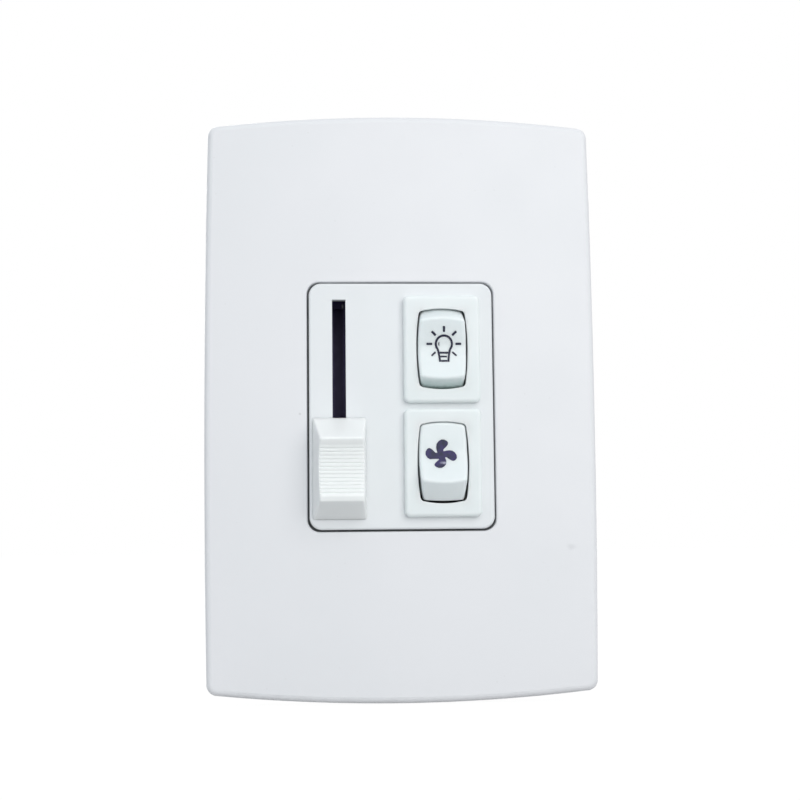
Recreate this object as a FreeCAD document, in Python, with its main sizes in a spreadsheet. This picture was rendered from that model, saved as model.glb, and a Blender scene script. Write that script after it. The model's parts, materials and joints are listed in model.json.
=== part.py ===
import FreeCAD, Part
import math
import os
import re

import Sketcher

# Wall fan and light controller: a bowed cover plate over a support frame, a module with a
# slide control and two rocker switches, and a rear housing with the speed circuit.
# X runs to the right, Z up and Y into the wall. The origin is the plate centre on the wall.
# Lengths are in millimetres and angles in degrees.
DIMENSIONS = {
    # Cover plate
    "plate_width": 80.0,
    "plate_height": 120.0,
    "plate_side_bow": 0.6,
    "plate_end_bow": 2.1,
    "plate_corner": 2.2,
    "plate_crown": 1.0,
    "plate_skin": 2.8,
    "plate_rim": 1.8,
    "plate_edge_round": 1.3,
    "window_edge_round": 0.35,
    "panel_gap": 0.4,
    "hook_spread": 68.0,
    "hook_width": 6.0,
    "hook_wall": 1.4,
    "hook_barb": 0.7,
    "hook_clear": 0.15,
    # Support frame
    "frame_side_gap": 4.6,
    "frame_end_gap": 4.1,
    "frame_wall": 3.0,
    "frame_corner": 4.0,
    "screw_spacing": 83.5,
    "screw_slot_width": 4.2,
    "screw_slot_length": 8.0,
    "head_recess_margin": 2.6,
    "head_recess_depth": 1.2,
    # Module face
    "panel_width": 37.4,
    "panel_height": 50.1,
    "panel_drop": 0.25,
    "panel_corner": 2.5,
    "panel_proud": 0.7,
    "panel_skin": 2.0,
    "panel_wall": 1.8,
    "panel_edge_round": 0.45,
    "flange_margin": 3.6,
    "flange_wall": 1.4,
    "flange_clear": 0.2,
    "skirt_clear": 0.2,
    "skirt_reach": 2.0,
    "slot_offset": 12.6,
    "slot_width": 2.75,
    "slot_top": 21.45,
    "slot_spare": 0.4,
    "pillar_radius": 3.0,
    # Rear housing and its two screws
    "housing_width": 42.0,
    "housing_height": 54.8,
    "housing_wall": 1.6,
    "housing_depth": 26.0,
    "housing_corner": 2.0,
    "fixing_offset": 3.6,
    "fixing_pitch": 24.0,
    "fixing_radius": 1.5,
    "fixing_bite": 8.0,
    "fixing_clear": 0.1,
    "fixing_head_radius": 2.7,
    "fixing_head_height": 1.9,
    "boss_wall": 0.9,
    "boss_floor": 2.5,
    "vent_width": 14.0,
    "vent_height": 1.6,
    "vent_pitch": 3.6,
    # Circuit board
    "board_front": 10.0,
    "board_wall": 1.6,
    "board_gap": 0.6,
    # Slide control
    "slide_travel": 26.5,
    "lever_wall": 1.2,
    "lever_height": 3.0,
    "lever_bite": 3.2,
    "lever_fit": 0.06,
    "carriage_length": 7.0,
    "carriage_width": 5.8,
    "carriage_depth": 4.0,
    "carriage_gap": 0.3,
    "track_sheet": 0.5,
    "track_wall": 1.0,
    "wiper_wall": 0.25,
    "wiper_gap": 0.05,
    "wiper_width": 3.0,
    # Slide knob
    "knob_width": 10.8,
    "knob_left_draft": 1.5,
    "knob_right_draft": 0.6,
    "knob_length": 20.5,
    "knob_gap": 0.3,
    "knob_height": 6.8,
    "knob_over_lever": 4.2,
    "knob_top_run": 4.5,
    "knob_step_run": 1.3,
    "knob_step_drop": 0.8,
    "knob_scoop_run": 10.2,
    "knob_scoop_sag": 0.7,
    "knob_low_drop": 0.4,
    "knob_nose_run": 1.0,
    "knob_round": 0.45,
    "ridge_radius": 0.17,
    "ridge_pitch": 0.74,
    # Rocker switches
    "switch_offset": 8.25,
    "light_height": 11.1,
    "fan_drop": 11.95,
    "bezel_width": 15.6,
    "bezel_rise": 1.7,
    "bezel_end_lip": 0.48,
    "bezel_corner": 1.2,
    "bezel_round": 0.75,
    "bezel_wall": 0.4,
    "opening_round": 0.2,
    "switch_side_wall": 1.2,
    "switch_end_wall": 0.6,
    "switch_clear": 0.15,
    "switch_barb": 0.5,
    "rocker_throw": 14.0,
    "rocker_pivot_depth": 6.3,
    "rocker_width": 9.8,
    "rocker_side_bow": 0.6,
    "rocker_end_bow": 0.6,
    "rocker_crest_reach": 6.2,
    "rocker_crest_rise": 1.6,
    "rocker_dip_rise": 0.05,
    "rocker_tip_reach": 9.0,
    "rocker_tip_drop": 2.2,
    "rocker_foot_reach": 3.0,
    "rocker_foot_depth": 2.0,
    "rocker_dip_round": 5.0,
    "rocker_round": 0.6,
    "rocker_corner": 0.9,
    "rocker_clear": 0.15,
    "rocker_side_gap": 0.3,
    "rocker_wall_gap": 0.45,
    "trunnion_radius": 1.25,
    "trunnion_fit": 0.05,
    "stem_radius": 2.2,
    "stem_reach": 4.2,
    "plunger_radius": 1.1,
    "plunger_fit": 0.08,
    "plunger_reach": 6.5,
    "plunger_length": 4.6,
    "plunger_gap": 0.1,
    "spring_length": 3.4,
    "spring_wall": 0.3,
    # Switch contacts
    "blade_wall": 0.5,
    "blade_width": 4.0,
    "blade_length": 11.4,
    "blade_swing": 8.0,
    "bead_radius": 0.45,
    "bead_fit": 0.05,
    "button_radius": 1.0,
    "button_height": 0.7,
    "button_reach": 4.6,
    "contact_gap": 0.08,
    "terminal_sheet": 0.5,
    "terminal_width": 4.0,
    "ear_height": 1.1,
    "ear_spread": 3.2,
    "base_wall": 2.0,
    "base_fit": 0.1,
    "pin_width": 3.0,
    "pin_sheet": 0.6,
    "pin_reach": 6.6,
    "pin_fit": 0.05,
    # Terminal block for the wires
    "block_ways": 5,
    "block_pitch": 5.0,
    "block_depth": 8.0,
    "block_height": 12.9,
    "block_margin": 0.6,
    "block_gap": 0.3,
    "entry_size": 3.4,
    "entry_depth": 6.0,
    "entry_lift": 3.6,
    "clamp_radius": 1.6,
    "clamp_height": 2.0,
    "clamp_sink": 2.4,
    "clamp_fit": 0.2,
    # Speed circuit
    "sink_width": 15.0,
    "sink_height": 18.0,
    "sink_gap": 1.7,
    "sink_lift": 11.2,
    "sink_wall": 2.0,
    "sink_fin": 3.6,
    "sink_fin_wall": 1.2,
    "sink_post": 2.0,
    "triac_width": 10.0,
    "triac_length": 9.2,
    "triac_wall": 4.4,
    "triac_tab": 1.3,
    "triac_tab_length": 6.0,
    "triac_air": 0.9,
    "triac_leg": 0.8,
    "triac_bolt": 1.5,
    "film_width": 12.6,
    "film_depth": 5.4,
    "film_height": 10.6,
    "film_gap": 1.5,
    "film_lift": 1.0,
    "timing_width": 7.2,
    "timing_depth": 2.8,
    "timing_height": 7.0,
    "timing_shift": 2.2,
    "timing_drop": 4.2,
    "choke_radius": 4.6,
    "choke_height": 10.6,
    "choke_waist": 2.4,
    "choke_cheek": 1.2,
    "choke_gap": 1.6,
    "choke_end_gap": 4.2,
    "winding_gap": 0.1,
    "resistor_radius": 1.2,
    "resistor_length": 6.4,
    "resistor_pitch": 3.5,
    "resistor_gap": 1.6,
    "resistor_drop": 7.0,
    "lead_size": 0.6,
    "lead_run": 1.6,
    "diac_radius": 0.9,
    "diac_length": 4.0,
    "diac_offset": 2.2,
    "diac_gap": 0.3,
}

# Sizes worked out from the driving dimensions. Depths named *_front count from the wall
# towards the room, names ending in _y are places along Y.
DERIVED = {
    "plate_ceiling": "frame_wall + flange_wall + flange_clear",
    "plate_depth": "plate_ceiling + plate_skin",
    "plate_edge_depth": "plate_depth - plate_crown",
    "plate_corner_x": "plate_width / 2 - plate_side_bow",
    "plate_corner_z": "plate_height / 2 - plate_end_bow",
    "plate_side_radius": "(plate_corner_z ^ 2 + plate_side_bow ^ 2) / (2 * plate_side_bow)",
    "plate_end_radius": "(plate_corner_x ^ 2 + plate_end_bow ^ 2) / (2 * plate_end_bow)",
    "plate_crown_radius": "((plate_width / 2) ^ 2 + plate_crown ^ 2) / (2 * plate_crown)",
    "frame_width": "2 * (plate_corner_x - plate_rim - frame_side_gap)",
    "frame_height": "2 * (plate_corner_z - plate_rim - frame_end_gap)",
    "hook_inner": "frame_width / 2 + hook_clear",
    "hook_end": "0.5",
    "barb_front": "frame_wall / 2 - hook_clear",
    "panel_front": "plate_depth + panel_proud",
    "panel_back": "panel_front - panel_skin",
    "flange_front": "frame_wall + flange_wall",
    "opening_width": "housing_width - 2 * housing_wall",
    "opening_height": "housing_height - 2 * housing_wall",
    "skirt_width": "opening_width - 2 * skirt_clear",
    "skirt_height": "opening_height - 2 * skirt_clear",
    "cavity_width": "panel_width - 2 * panel_wall",
    "cavity_height": "panel_height - 2 * panel_wall",
    "board_rear": "board_front + board_wall",
    "housing_inner": "housing_depth - housing_wall",
    "fixing_x": "0 - fixing_offset",
    "fixing_high_z": "fixing_pitch / 2 - panel_drop",
    "fixing_low_z": "0 - fixing_pitch / 2 - panel_drop",
    "fixing_seat": "board_rear + boss_floor",
    "bore_radius": "fixing_radius + fixing_clear",
    "counter_radius": "fixing_head_radius + fixing_clear",
    "boss_radius": "counter_radius + boss_wall",
    "slot_x": "0 - slot_offset",
    "lever_high": "slot_top - slot_spare - lever_height / 2",
    "lever_low": "lever_high - slide_travel",
    "slot_bottom": "lever_low - lever_height / 2 - slot_spare",
    "lever_tip": "panel_front + knob_gap + lever_bite",
    "carriage_back": "board_front - track_wall - wiper_gap - wiper_wall",
    "carriage_front": "carriage_back - carriage_depth",
    "case_front": "carriage_front - carriage_gap - track_sheet",
    "case_width": "carriage_width + 2 * carriage_gap + 2 * track_sheet",
    "case_high": "lever_high + carriage_length / 2 + carriage_gap + track_sheet",
    "case_low": "lever_low - carriage_length / 2 - carriage_gap - track_sheet",
    "knob_top": "lever_low + knob_over_lever",
    "knob_base": "panel_front + knob_gap",
    "scoop_low": "knob_height - knob_step_drop",
    "scoop_high": "knob_height - knob_low_drop",
    "scoop_start": "knob_top_run + knob_step_run",
    "scoop_end": "scoop_start + knob_scoop_run",
    "scoop_chord": "sqrt(knob_scoop_run ^ 2 + (scoop_high - scoop_low) ^ 2)",
    "scoop_radius": "(scoop_chord ^ 2 / 4 + knob_scoop_sag ^ 2) / (2 * knob_scoop_sag)",
    "bezel_front": "panel_front + bezel_rise",
    "pivot_y": "rocker_pivot_depth - bezel_front",
    "crest_arm": "rocker_pivot_depth + rocker_crest_rise",
    "dip_arm": "rocker_pivot_depth + rocker_dip_rise",
    "tip_arm": "rocker_pivot_depth - rocker_tip_drop",
    "end_slant": "atan((rocker_tip_reach - rocker_crest_reach) / (crest_arm - tip_arm))",
    "crest_pressed": "rocker_crest_reach * cos(rocker_throw) + crest_arm * sin(rocker_throw)",
    "tip_pressed": "rocker_tip_reach * cos(rocker_throw) + tip_arm * sin(rocker_throw)",
    "tip_sunk": "rocker_pivot_depth - tip_arm * cos(rocker_throw) + rocker_tip_reach * sin(rocker_throw)",
    "cavity_half": "tip_pressed + rocker_clear",
    "flare": "(tip_pressed - crest_pressed) / tip_sunk",
    "opening_half": "crest_pressed + rocker_clear + flare * bezel_wall",
    "opening_side": "rocker_width / 2 + rocker_side_gap",
    "rocker_span": "rocker_tip_reach + 2",
    "mouth_corner_z": "opening_half - rocker_end_bow",
    "mouth_radius": "(mouth_corner_z ^ 2 + rocker_side_bow ^ 2) / (2 * rocker_side_bow)",
    "side_radius": "mouth_radius - rocker_side_gap",
    "side_fall": "side_radius - sqrt(side_radius ^ 2 - rocker_tip_reach ^ 2)",
    "end_radius": "((rocker_width / 2) ^ 2 + rocker_end_bow ^ 2) / (2 * rocker_end_bow)",
    "well_side": "rocker_width / 2 + rocker_wall_gap",
    "body_side": "well_side + switch_side_wall",
    "body_half": "cavity_half + switch_end_wall",
    "bezel_half": "body_half + bezel_end_lip",
    "trunnion_reach": "body_side - 0.2",
    "plunger_tip_y": "pivot_y + plunger_reach",
    "blade_front_y": "plunger_tip_y + plunger_gap",
    "fulcrum_y": "blade_front_y + blade_wall + bead_radius - 0.05",
    "button_back": "button_height - bead_radius + 0.05",
    "button_edge": "button_reach + button_radius",
    "contact_y": "fulcrum_y + button_back * cos(blade_swing) + button_edge * sin(blade_swing) + contact_gap",
    "base_front_y": "contact_y + terminal_sheet",
    "base_back_y": "base_front_y + base_wall",
    "base_half": "cavity_half - base_fit",
    "base_side": "well_side - base_fit",
    "block_width": "block_ways * block_pitch + 2 * block_margin",
    "block_low_z": "0 - panel_drop - opening_height / 2 + block_gap",
    "block_high_z": "block_low_z + block_depth",
    "block_back": "board_rear + block_height",
    "sink_offset": "opening_width / 2 - sink_gap - sink_width / 2",
    "sink_front": "board_rear + triac_air + triac_wall",
    "sink_low_z": "sink_lift - sink_height / 2",
    "triac_low_z": "sink_low_z + 1",
    "tab_front": "sink_front - triac_tab",
    "tab_hole_z": "triac_low_z + triac_length + triac_tab_length / 2 + 0.3",
    "film_offset": "opening_width / 2 - film_gap - film_width / 2",
    "timing_offset": "sink_offset - timing_shift",
    "choke_offset": "opening_width / 2 - choke_gap - choke_radius",
    "choke_lift": "opening_height / 2 - panel_drop - choke_end_gap - choke_radius",
    "resistor_offset": "opening_width / 2 - resistor_gap - resistor_length / 2 - lead_run",
    "resistor_y": "board_rear + resistor_radius + 0.2",
    "diac_y": "board_rear + diac_radius + 0.2",
    "diac_lift": "film_lift + film_depth / 2 + diac_gap + diac_radius",
}

doc = FreeCAD.newDocument("fan_speed_control")
sheet = doc.addObject("Spreadsheet::Sheet", "Sheet")
for row, (alias, size) in enumerate(DIMENSIONS.items(), start=1):
    sheet.set(f"A{row}", alias)
    sheet.set(f"B{row}", str(size))
    sheet.setAlias(f"B{row}", alias)
doc.recompute()

SUBPARTS = []
WORD = re.compile(r"[a-z][a-z_0-9]*")
X_AXIS = FreeCAD.Vector(1, 0, 0)
Y_AXIS = FreeCAD.Vector(0, 1, 0)


def expand(text):
    """Write an expression of size names as one that points at the sheet's cells."""

    def cell(match):
        word = match.group(0)
        if word in DERIVED:
            return "(" + expand(DERIVED[word]) + ")"
        if word in DIMENSIONS:
            return "Sheet." + word
        return word

    return WORD.sub(cell, text)


def number(text):
    """Give the present value of an expression of size names."""
    return float(sheet.evalExpression(expand(text)))


def bind(item, prop, text):
    """Tie a property to an expression of size names."""
    item.setExpression(prop, expand(text))


def minus(text):
    """Give the expression with its sign turned."""
    return f"-1 * ({text})"


# Sketches and body features

def new_body(label):
    """Start a sub-part that is built from sketches."""
    body = doc.addObject("PartDesign::Body", label)
    SUBPARTS.append(body)
    return body


def sketch_on(body, role, offset="0"):
    """Lay a sketch on an origin plane of the body, moved along the plane's normal."""
    plane = [item for item in body.Origin.OriginFeatures if item.Role == role][0]
    sketch = body.newObject("Sketcher::SketchObject", body.Name + "_sketch")
    sketch.AttachmentSupport = [(plane, "")]
    sketch.MapMode = "FlatFace"
    if offset != "0":
        bind(sketch, "AttachmentOffset.Base.z", offset)
    return sketch


def pin_point(sketch, geometry, position, x_text, y_text):
    """Fix a sketch point at a place given by two expressions."""
    for kind, axis, text in (("DistanceX", -2, x_text), ("DistanceY", -1, y_text)):
        if text == "0":
            sketch.addConstraint(Sketcher.Constraint("PointOnObject", geometry, position, axis))
            continue
        value = number(text)
        index = sketch.addConstraint(Sketcher.Constraint(kind, -1, 1, geometry, position, value))
        name = f"{kind[-1].lower()}_{geometry}_{position}"
        sketch.renameConstraint(index, name)
        bind(sketch, "Constraints." + name, text)


def pin_radius(sketch, geometry, text):
    """Fix the radius of a circle or an arc."""
    index = sketch.addConstraint(Sketcher.Constraint("Radius", geometry, number(text)))
    name = f"radius_{geometry}"
    sketch.renameConstraint(index, name)
    bind(sketch, "Constraints." + name, text)


def arc_between(start, end, radius, bulge):
    """Give an arc from start to end and whether it runs against the clock.

    The arc bulges to the right of the way from start to end when bulge is +1.
    """
    middle = (start + end) * 0.5
    chord = end - start
    right = FreeCAD.Vector(chord.y, -chord.x, 0) * (1.0 / chord.Length)
    rise = math.sqrt(max(radius ** 2 - (chord.Length / 2) ** 2, 0.0))
    centre = middle - right * (rise * bulge)
    first = math.atan2(start.y - centre.y, start.x - centre.x)
    last = math.atan2(end.y - centre.y, end.x - centre.x)
    circle = Part.Circle(centre, FreeCAD.Vector(0, 0, 1), radius)
    if bulge > 0:
        return Part.ArcOfCircle(circle, first, last), True
    return Part.ArcOfCircle(circle, last, first), False


def loop(sketch, points, arcs=None):
    """Draw a closed outline through points, with arcs on the sides that are named.

    Points are pairs of expressions. The arcs map a side's number to a radius and a bulge.
    """
    arcs = arcs or {}
    places = [FreeCAD.Vector(number(x), number(y), 0) for x, y in points]
    count = len(places)
    ends = []
    for side in range(count):
        start = places[side]
        end = places[(side + 1) % count]
        if side in arcs:
            text, bulge = arcs[side]
            curve, forward = arc_between(start, end, number(text), bulge)
            geometry = sketch.addGeometry(curve)
            ends.append((geometry, 1, 2) if forward else (geometry, 2, 1))
        else:
            geometry = sketch.addGeometry(Part.LineSegment(start, end))
            ends.append((geometry, 1, 2))
    for side in range(count):
        following = ends[(side + 1) % count]
        here = ends[side]
        sketch.addConstraint(
            Sketcher.Constraint("Coincident", here[0], here[2], following[0], following[1]))
    for side, (x_text, y_text) in enumerate(points):
        pin_point(sketch, ends[side][0], ends[side][1], x_text, y_text)
    for side, (text, bulge) in arcs.items():
        pin_radius(sketch, ends[side][0], text)


def rectangle(sketch, low_x, high_x, low_y, high_y):
    """Draw a rectangle between four expressions."""
    loop(sketch, [(low_x, low_y), (high_x, low_y), (high_x, high_y), (low_x, high_y)])


def centred(sketch, width, height, x="0", y="0"):
    """Draw a rectangle about a centre."""
    rectangle(sketch, f"{x} - ({width}) / 2", f"{x} + ({width}) / 2",
              f"{y} - ({height}) / 2", f"{y} + ({height}) / 2")


def circle(sketch, x, y, radius):
    """Draw a circle about a centre."""
    place = FreeCAD.Vector(number(x), number(y), 0)
    geometry = sketch.addGeometry(Part.Circle(place, FreeCAD.Vector(0, 0, 1), number(radius)))
    pin_point(sketch, geometry, 3, x, y)
    pin_radius(sketch, geometry, radius)


def pad(body, sketch, length, turned=False):
    """Raise a sketch along its normal, or against it when turned."""
    feature = body.newObject("PartDesign::Pad", body.Name + "_pad")
    feature.Profile = sketch
    feature.Reversed = turned
    bind(feature, "Length", length)
    return feature


def pocket(body, sketch, length=None, turned=False):
    """Cut a sketch against its normal, or along it when turned; through all without a length."""
    feature = body.newObject("PartDesign::Pocket", body.Name + "_pocket")
    feature.Profile = sketch
    feature.Reversed = turned
    if length is None:
        feature.Type = "ThroughAll"
    else:
        bind(feature, "Length", length)
    return feature


def dress(body, kind, size, wanted):
    """Round or bevel the edges of a body that a test picks out."""
    doc.recompute()
    tip = body.Tip
    names = [f"Edge{i}" for i, edge in enumerate(tip.Shape.Edges, start=1) if wanted(edge)]
    if not names:
        raise RuntimeError(f"{body.Label}: no edge to dress")
    feature = body.newObject("PartDesign::" + kind, body.Name + "_edge")
    feature.Base = (tip, names)
    bind(feature, "Radius" if kind == "Fillet" else "Size", size)
    doc.recompute()
    return feature


def box_of(edge):
    """Give the box around an edge."""
    return edge.BoundBox


def along_y(low, high):
    """Pick straight edges along Y that lie between two places."""

    def wanted(edge):
        space = box_of(edge)
        straight = space.XLength < 1e-4 and space.ZLength < 1e-4 and space.YLength > 1e-3
        return straight and space.YMin > low - 1e-3 and space.YMax < high + 1e-3

    return wanted


def flat_at_y(place, inside=None, outside=None):
    """Pick edges that lie in one plane across Y, within or beyond half sizes in X and Z."""

    def wanted(edge):
        space = box_of(edge)
        if abs(space.YMin - place) > 1e-3 or abs(space.YMax - place) > 1e-3:
            return False
        reach_x = max(abs(space.XMin), abs(space.XMax))
        reach_z = max(abs(space.ZMin), abs(space.ZMax))
        if inside and (reach_x > inside[0] or reach_z > inside[1]):
            return False
        return not (outside and reach_x < outside[0] and reach_z < outside[1])

    return wanted


# Solid primitives and their joining

def box(name, x, y, z):
    """Make a box between pairs of expressions along X, Y and Z."""
    item = doc.addObject("Part::Box", name)
    for prop, (low, high) in (("Length", x), ("Width", y), ("Height", z)):
        bind(item, prop, f"({high}) - ({low})")
    for axis, (low, high) in (("x", x), ("y", y), ("z", z)):
        bind(item, "Placement.Base." + axis, low)
    return item


def rod(name, axis, start, end, across, radius):
    """Make a round bar along X or Y between two expressions."""
    item = doc.addObject("Part::Cylinder", name)
    turn = FreeCAD.Rotation(Y_AXIS, 90) if axis == "x" else FreeCAD.Rotation(X_AXIS, -90)
    item.Placement = FreeCAD.Placement(FreeCAD.Vector(0, 0, 0), turn)
    bind(item, "Radius", radius)
    bind(item, "Height", f"({end}) - ({start})")
    bind(item, "Placement.Base." + axis, start)
    bind(item, "Placement.Base." + ("y" if axis == "x" else "x"), across[0])
    bind(item, "Placement.Base.z", across[1])
    return item


def fuse(label, items, keep=True):
    """Join shapes into one solid."""
    item = doc.addObject("Part::MultiFuse", label)
    item.Shapes = items
    item.Refine = True
    if keep:
        SUBPARTS.append(item)
    return item


def cut(label, base, tools, keep=True):
    """Take shapes out of a base."""
    tool = tools[0]
    if len(tools) > 1:
        tool = doc.addObject("Part::Compound", label + "_tools")
        tool.Links = tools
    item = doc.addObject("Part::Cut", label)
    item.Base = base
    item.Tool = tool
    if keep:
        SUBPARTS.append(item)
    return item


def group(label, items):
    """Hold separate solids of one kind in one sub-part."""
    item = doc.addObject("Part::Compound", label)
    item.Links = items
    SUBPARTS.append(item)
    return item


def place(item, x="0", y="0", z="0", tilt=None):
    """Set a sub-part at its place, turned about X when a tilt is given."""
    if tilt:
        item.Placement = FreeCAD.Placement(FreeCAD.Vector(0, 0, 0), FreeCAD.Rotation(X_AXIS, 1))
        bind(item, "Placement.Rotation.Angle", tilt)
    for axis, text in (("x", x), ("y", y), ("z", z)):
        bind(item, "Placement.Base." + axis, text)


# Cover plate: bowed outline, crowned front, window, hollow back and four snap hooks

def build_wall_plate():
    """Build the cover plate."""
    body = new_body("wall_plate")
    outline = sketch_on(body, "XZ_Plane")
    corner = ("plate_corner_x", "plate_corner_z")
    loop(outline,
         [(minus(corner[0]), minus(corner[1])), (corner[0], minus(corner[1])),
          corner, (minus(corner[0]), corner[1])],
         {0: ("plate_end_radius", 1), 1: ("plate_side_radius", 1),
          2: ("plate_end_radius", 1), 3: ("plate_side_radius", 1)})
    pad(body, outline, "plate_depth")
    dress(body, "Fillet", "plate_corner", along_y(-number("plate_depth"), 0))

    crown = sketch_on(body, "XY_Plane", minus("plate_height"))
    edge = minus("plate_edge_depth")
    out = "plate_width / 2 + 2"
    loop(crown,
         [("plate_width / 2", edge), (minus("plate_width / 2"), edge), (minus(out), edge),
          (minus(out), minus("plate_depth + 4")), (out, minus("plate_depth + 4")), (out, edge)],
         {0: ("plate_crown_radius", -1)})
    pocket(body, crown, "2 * plate_height", turned=True)
    front = -number("plate_edge_depth")
    dress(body, "Fillet", "plate_edge_round", lambda edge: box_of(edge).YMax < front + 0.3)

    hollow = sketch_on(body, "XZ_Plane")
    centred(hollow, "2 * (plate_corner_x - plate_rim)", "2 * (plate_corner_z - plate_rim)")
    pocket(body, hollow, "plate_ceiling", turned=True)

    window = sketch_on(body, "XZ_Plane", "plate_depth + 1")
    centred(window, "panel_width + 2 * panel_gap", "panel_height + 2 * panel_gap",
            "0", minus("panel_drop"))
    pocket(body, window)
    half_x = number("panel_width / 2 + panel_gap")
    ceiling = -number("plate_ceiling")

    def window_corner(edge):
        space = box_of(edge)
        upright = space.XLength < 1e-4 and space.ZLength < 1e-4
        return upright and abs(abs(space.XMin) - half_x) < 1e-3 and space.YMax < ceiling + 1e-3

    dress(body, "Fillet", "panel_corner", window_corner)

    def window_rim(edge):
        space = box_of(edge)
        low = -number("plate_height / 2 - 8")
        near = max(abs(space.XMin), abs(space.XMax)) < half_x + 0.01 and space.ZMin > low
        return near and space.YMax < ceiling - 1

    dress(body, "Fillet", "window_edge_round", window_rim)

    inner = "hook_inner"
    lead = "hook_inner + 0.2"
    tip = "hook_inner - hook_barb"
    outer = "hook_inner + hook_wall"
    steps = [(inner, minus("plate_ceiling")), (outer, minus("plate_ceiling")),
             (outer, minus("hook_end")), (lead, minus("hook_end")),
             (tip, minus("(hook_end + barb_front) / 2")), (tip, minus("barb_front")),
             (inner, minus("barb_front"))]
    for side in (1, -1):
        for level in ("hook_spread / 2", minus("hook_spread / 2")):
            hook = sketch_on(body, "XY_Plane", f"{level} - hook_width / 2")
            points = steps if side > 0 else [(minus(x), y) for x, y in steps[::-1]]
            loop(hook, points)
            pad(body, hook, "hook_width")


# Support frame: flat plate with the module opening, two box-screw slots and hook ledges

def build_support_frame():
    """Build the frame that is screwed to the wall box."""
    body = new_body("support_frame")
    sheet_plan = sketch_on(body, "XZ_Plane")
    centred(sheet_plan, "frame_width", "frame_height")
    pad(body, sheet_plan, "frame_wall")
    dress(body, "Fillet", "frame_corner", along_y(-number("frame_wall"), 0))

    opening = sketch_on(body, "XZ_Plane", "frame_wall")
    centred(opening, "opening_width", "opening_height", "0", minus("panel_drop"))
    pocket(body, opening)

    straight = "screw_slot_length - screw_slot_width"
    for level in ("screw_spacing / 2", minus("screw_spacing / 2")):
        recess = sketch_on(body, "XZ_Plane", "frame_wall")
        centred(recess, "screw_slot_width + 2 * head_recess_margin",
                "screw_slot_length + 2 * head_recess_margin", "0", level)
        pocket(body, recess, "head_recess_depth")
        slot = sketch_on(body, "XZ_Plane", "frame_wall")
        centred(slot, "screw_slot_width", straight, "0", level)
        pocket(body, slot)
        for side in ("-1", "1"):
            slot_end = sketch_on(body, "XZ_Plane", "frame_wall")
            circle(slot_end, "0", f"{level} + {side} * ({straight}) / 2", "screw_slot_width / 2")
            pocket(body, slot_end)

    notch = sketch_on(body, "XZ_Plane")
    deep = "frame_width / 2 - hook_barb - 0.5"
    past = "frame_width / 2 + 1"
    for level in ("hook_spread / 2", minus("hook_spread / 2")):
        low = f"{level} - hook_width / 2 - 2 * hook_clear"
        high = f"{level} + hook_width / 2 + 2 * hook_clear"
        rectangle(notch, deep, past, low, high)
        rectangle(notch, minus(past), minus(deep), low, high)
    pocket(body, notch, "frame_wall / 2", turned=True)


# Module face: panel, flange on the frame, skirt, slot, switch openings and screw pillars

def build_module_face():
    """Build the front half of the module."""
    body = new_body("module_face")
    drop = minus("panel_drop")
    skirt = sketch_on(body, "XZ_Plane", minus("skirt_reach"))
    centred(skirt, "skirt_width", "skirt_height", "0", drop)
    pad(body, skirt, "skirt_reach + frame_wall")
    flange = sketch_on(body, "XZ_Plane", "frame_wall")
    centred(flange, "panel_width + 2 * flange_margin", "panel_height + 2 * flange_margin", "0", drop)
    pad(body, flange, "flange_wall")
    panel = sketch_on(body, "XZ_Plane", "flange_front")
    centred(panel, "panel_width", "panel_height", "0", drop)
    pad(body, panel, "panel_front - flange_front")
    front = -number("panel_front")
    dress(body, "Fillet", "panel_corner", along_y(front, -number("flange_front")))
    dress(body, "Fillet", "panel_edge_round", flat_at_y(front))

    hollow = sketch_on(body, "XZ_Plane", minus("skirt_reach"))
    centred(hollow, "cavity_width", "cavity_height", "0", drop)
    pocket(body, hollow, "skirt_reach + panel_back", turned=True)

    openings = sketch_on(body, "XZ_Plane", "panel_front")
    rectangle(openings, "slot_x - slot_width / 2", "slot_x + slot_width / 2", "slot_bottom", "slot_top")
    for level in ("light_height", minus("fan_drop")):
        centred(openings, "2 * (body_side + switch_clear)", "2 * (body_half + switch_clear)",
                "switch_offset", level)
    pocket(body, openings, "panel_skin + 0.5")

    pillars = sketch_on(body, "XZ_Plane", minus("board_front"))
    bores = sketch_on(body, "XZ_Plane", minus("board_front"))
    for level in ("fixing_high_z", "fixing_low_z"):
        circle(pillars, "fixing_x", level, "pillar_radius")
        circle(bores, "fixing_x", level, "bore_radius")
    pad(body, pillars, "board_front + panel_back + 0.2")
    pocket(body, bores, "fixing_bite + 1", turned=True)


# Rear housing: deep cup with screw bosses, a notch for the terminal block and vents

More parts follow.
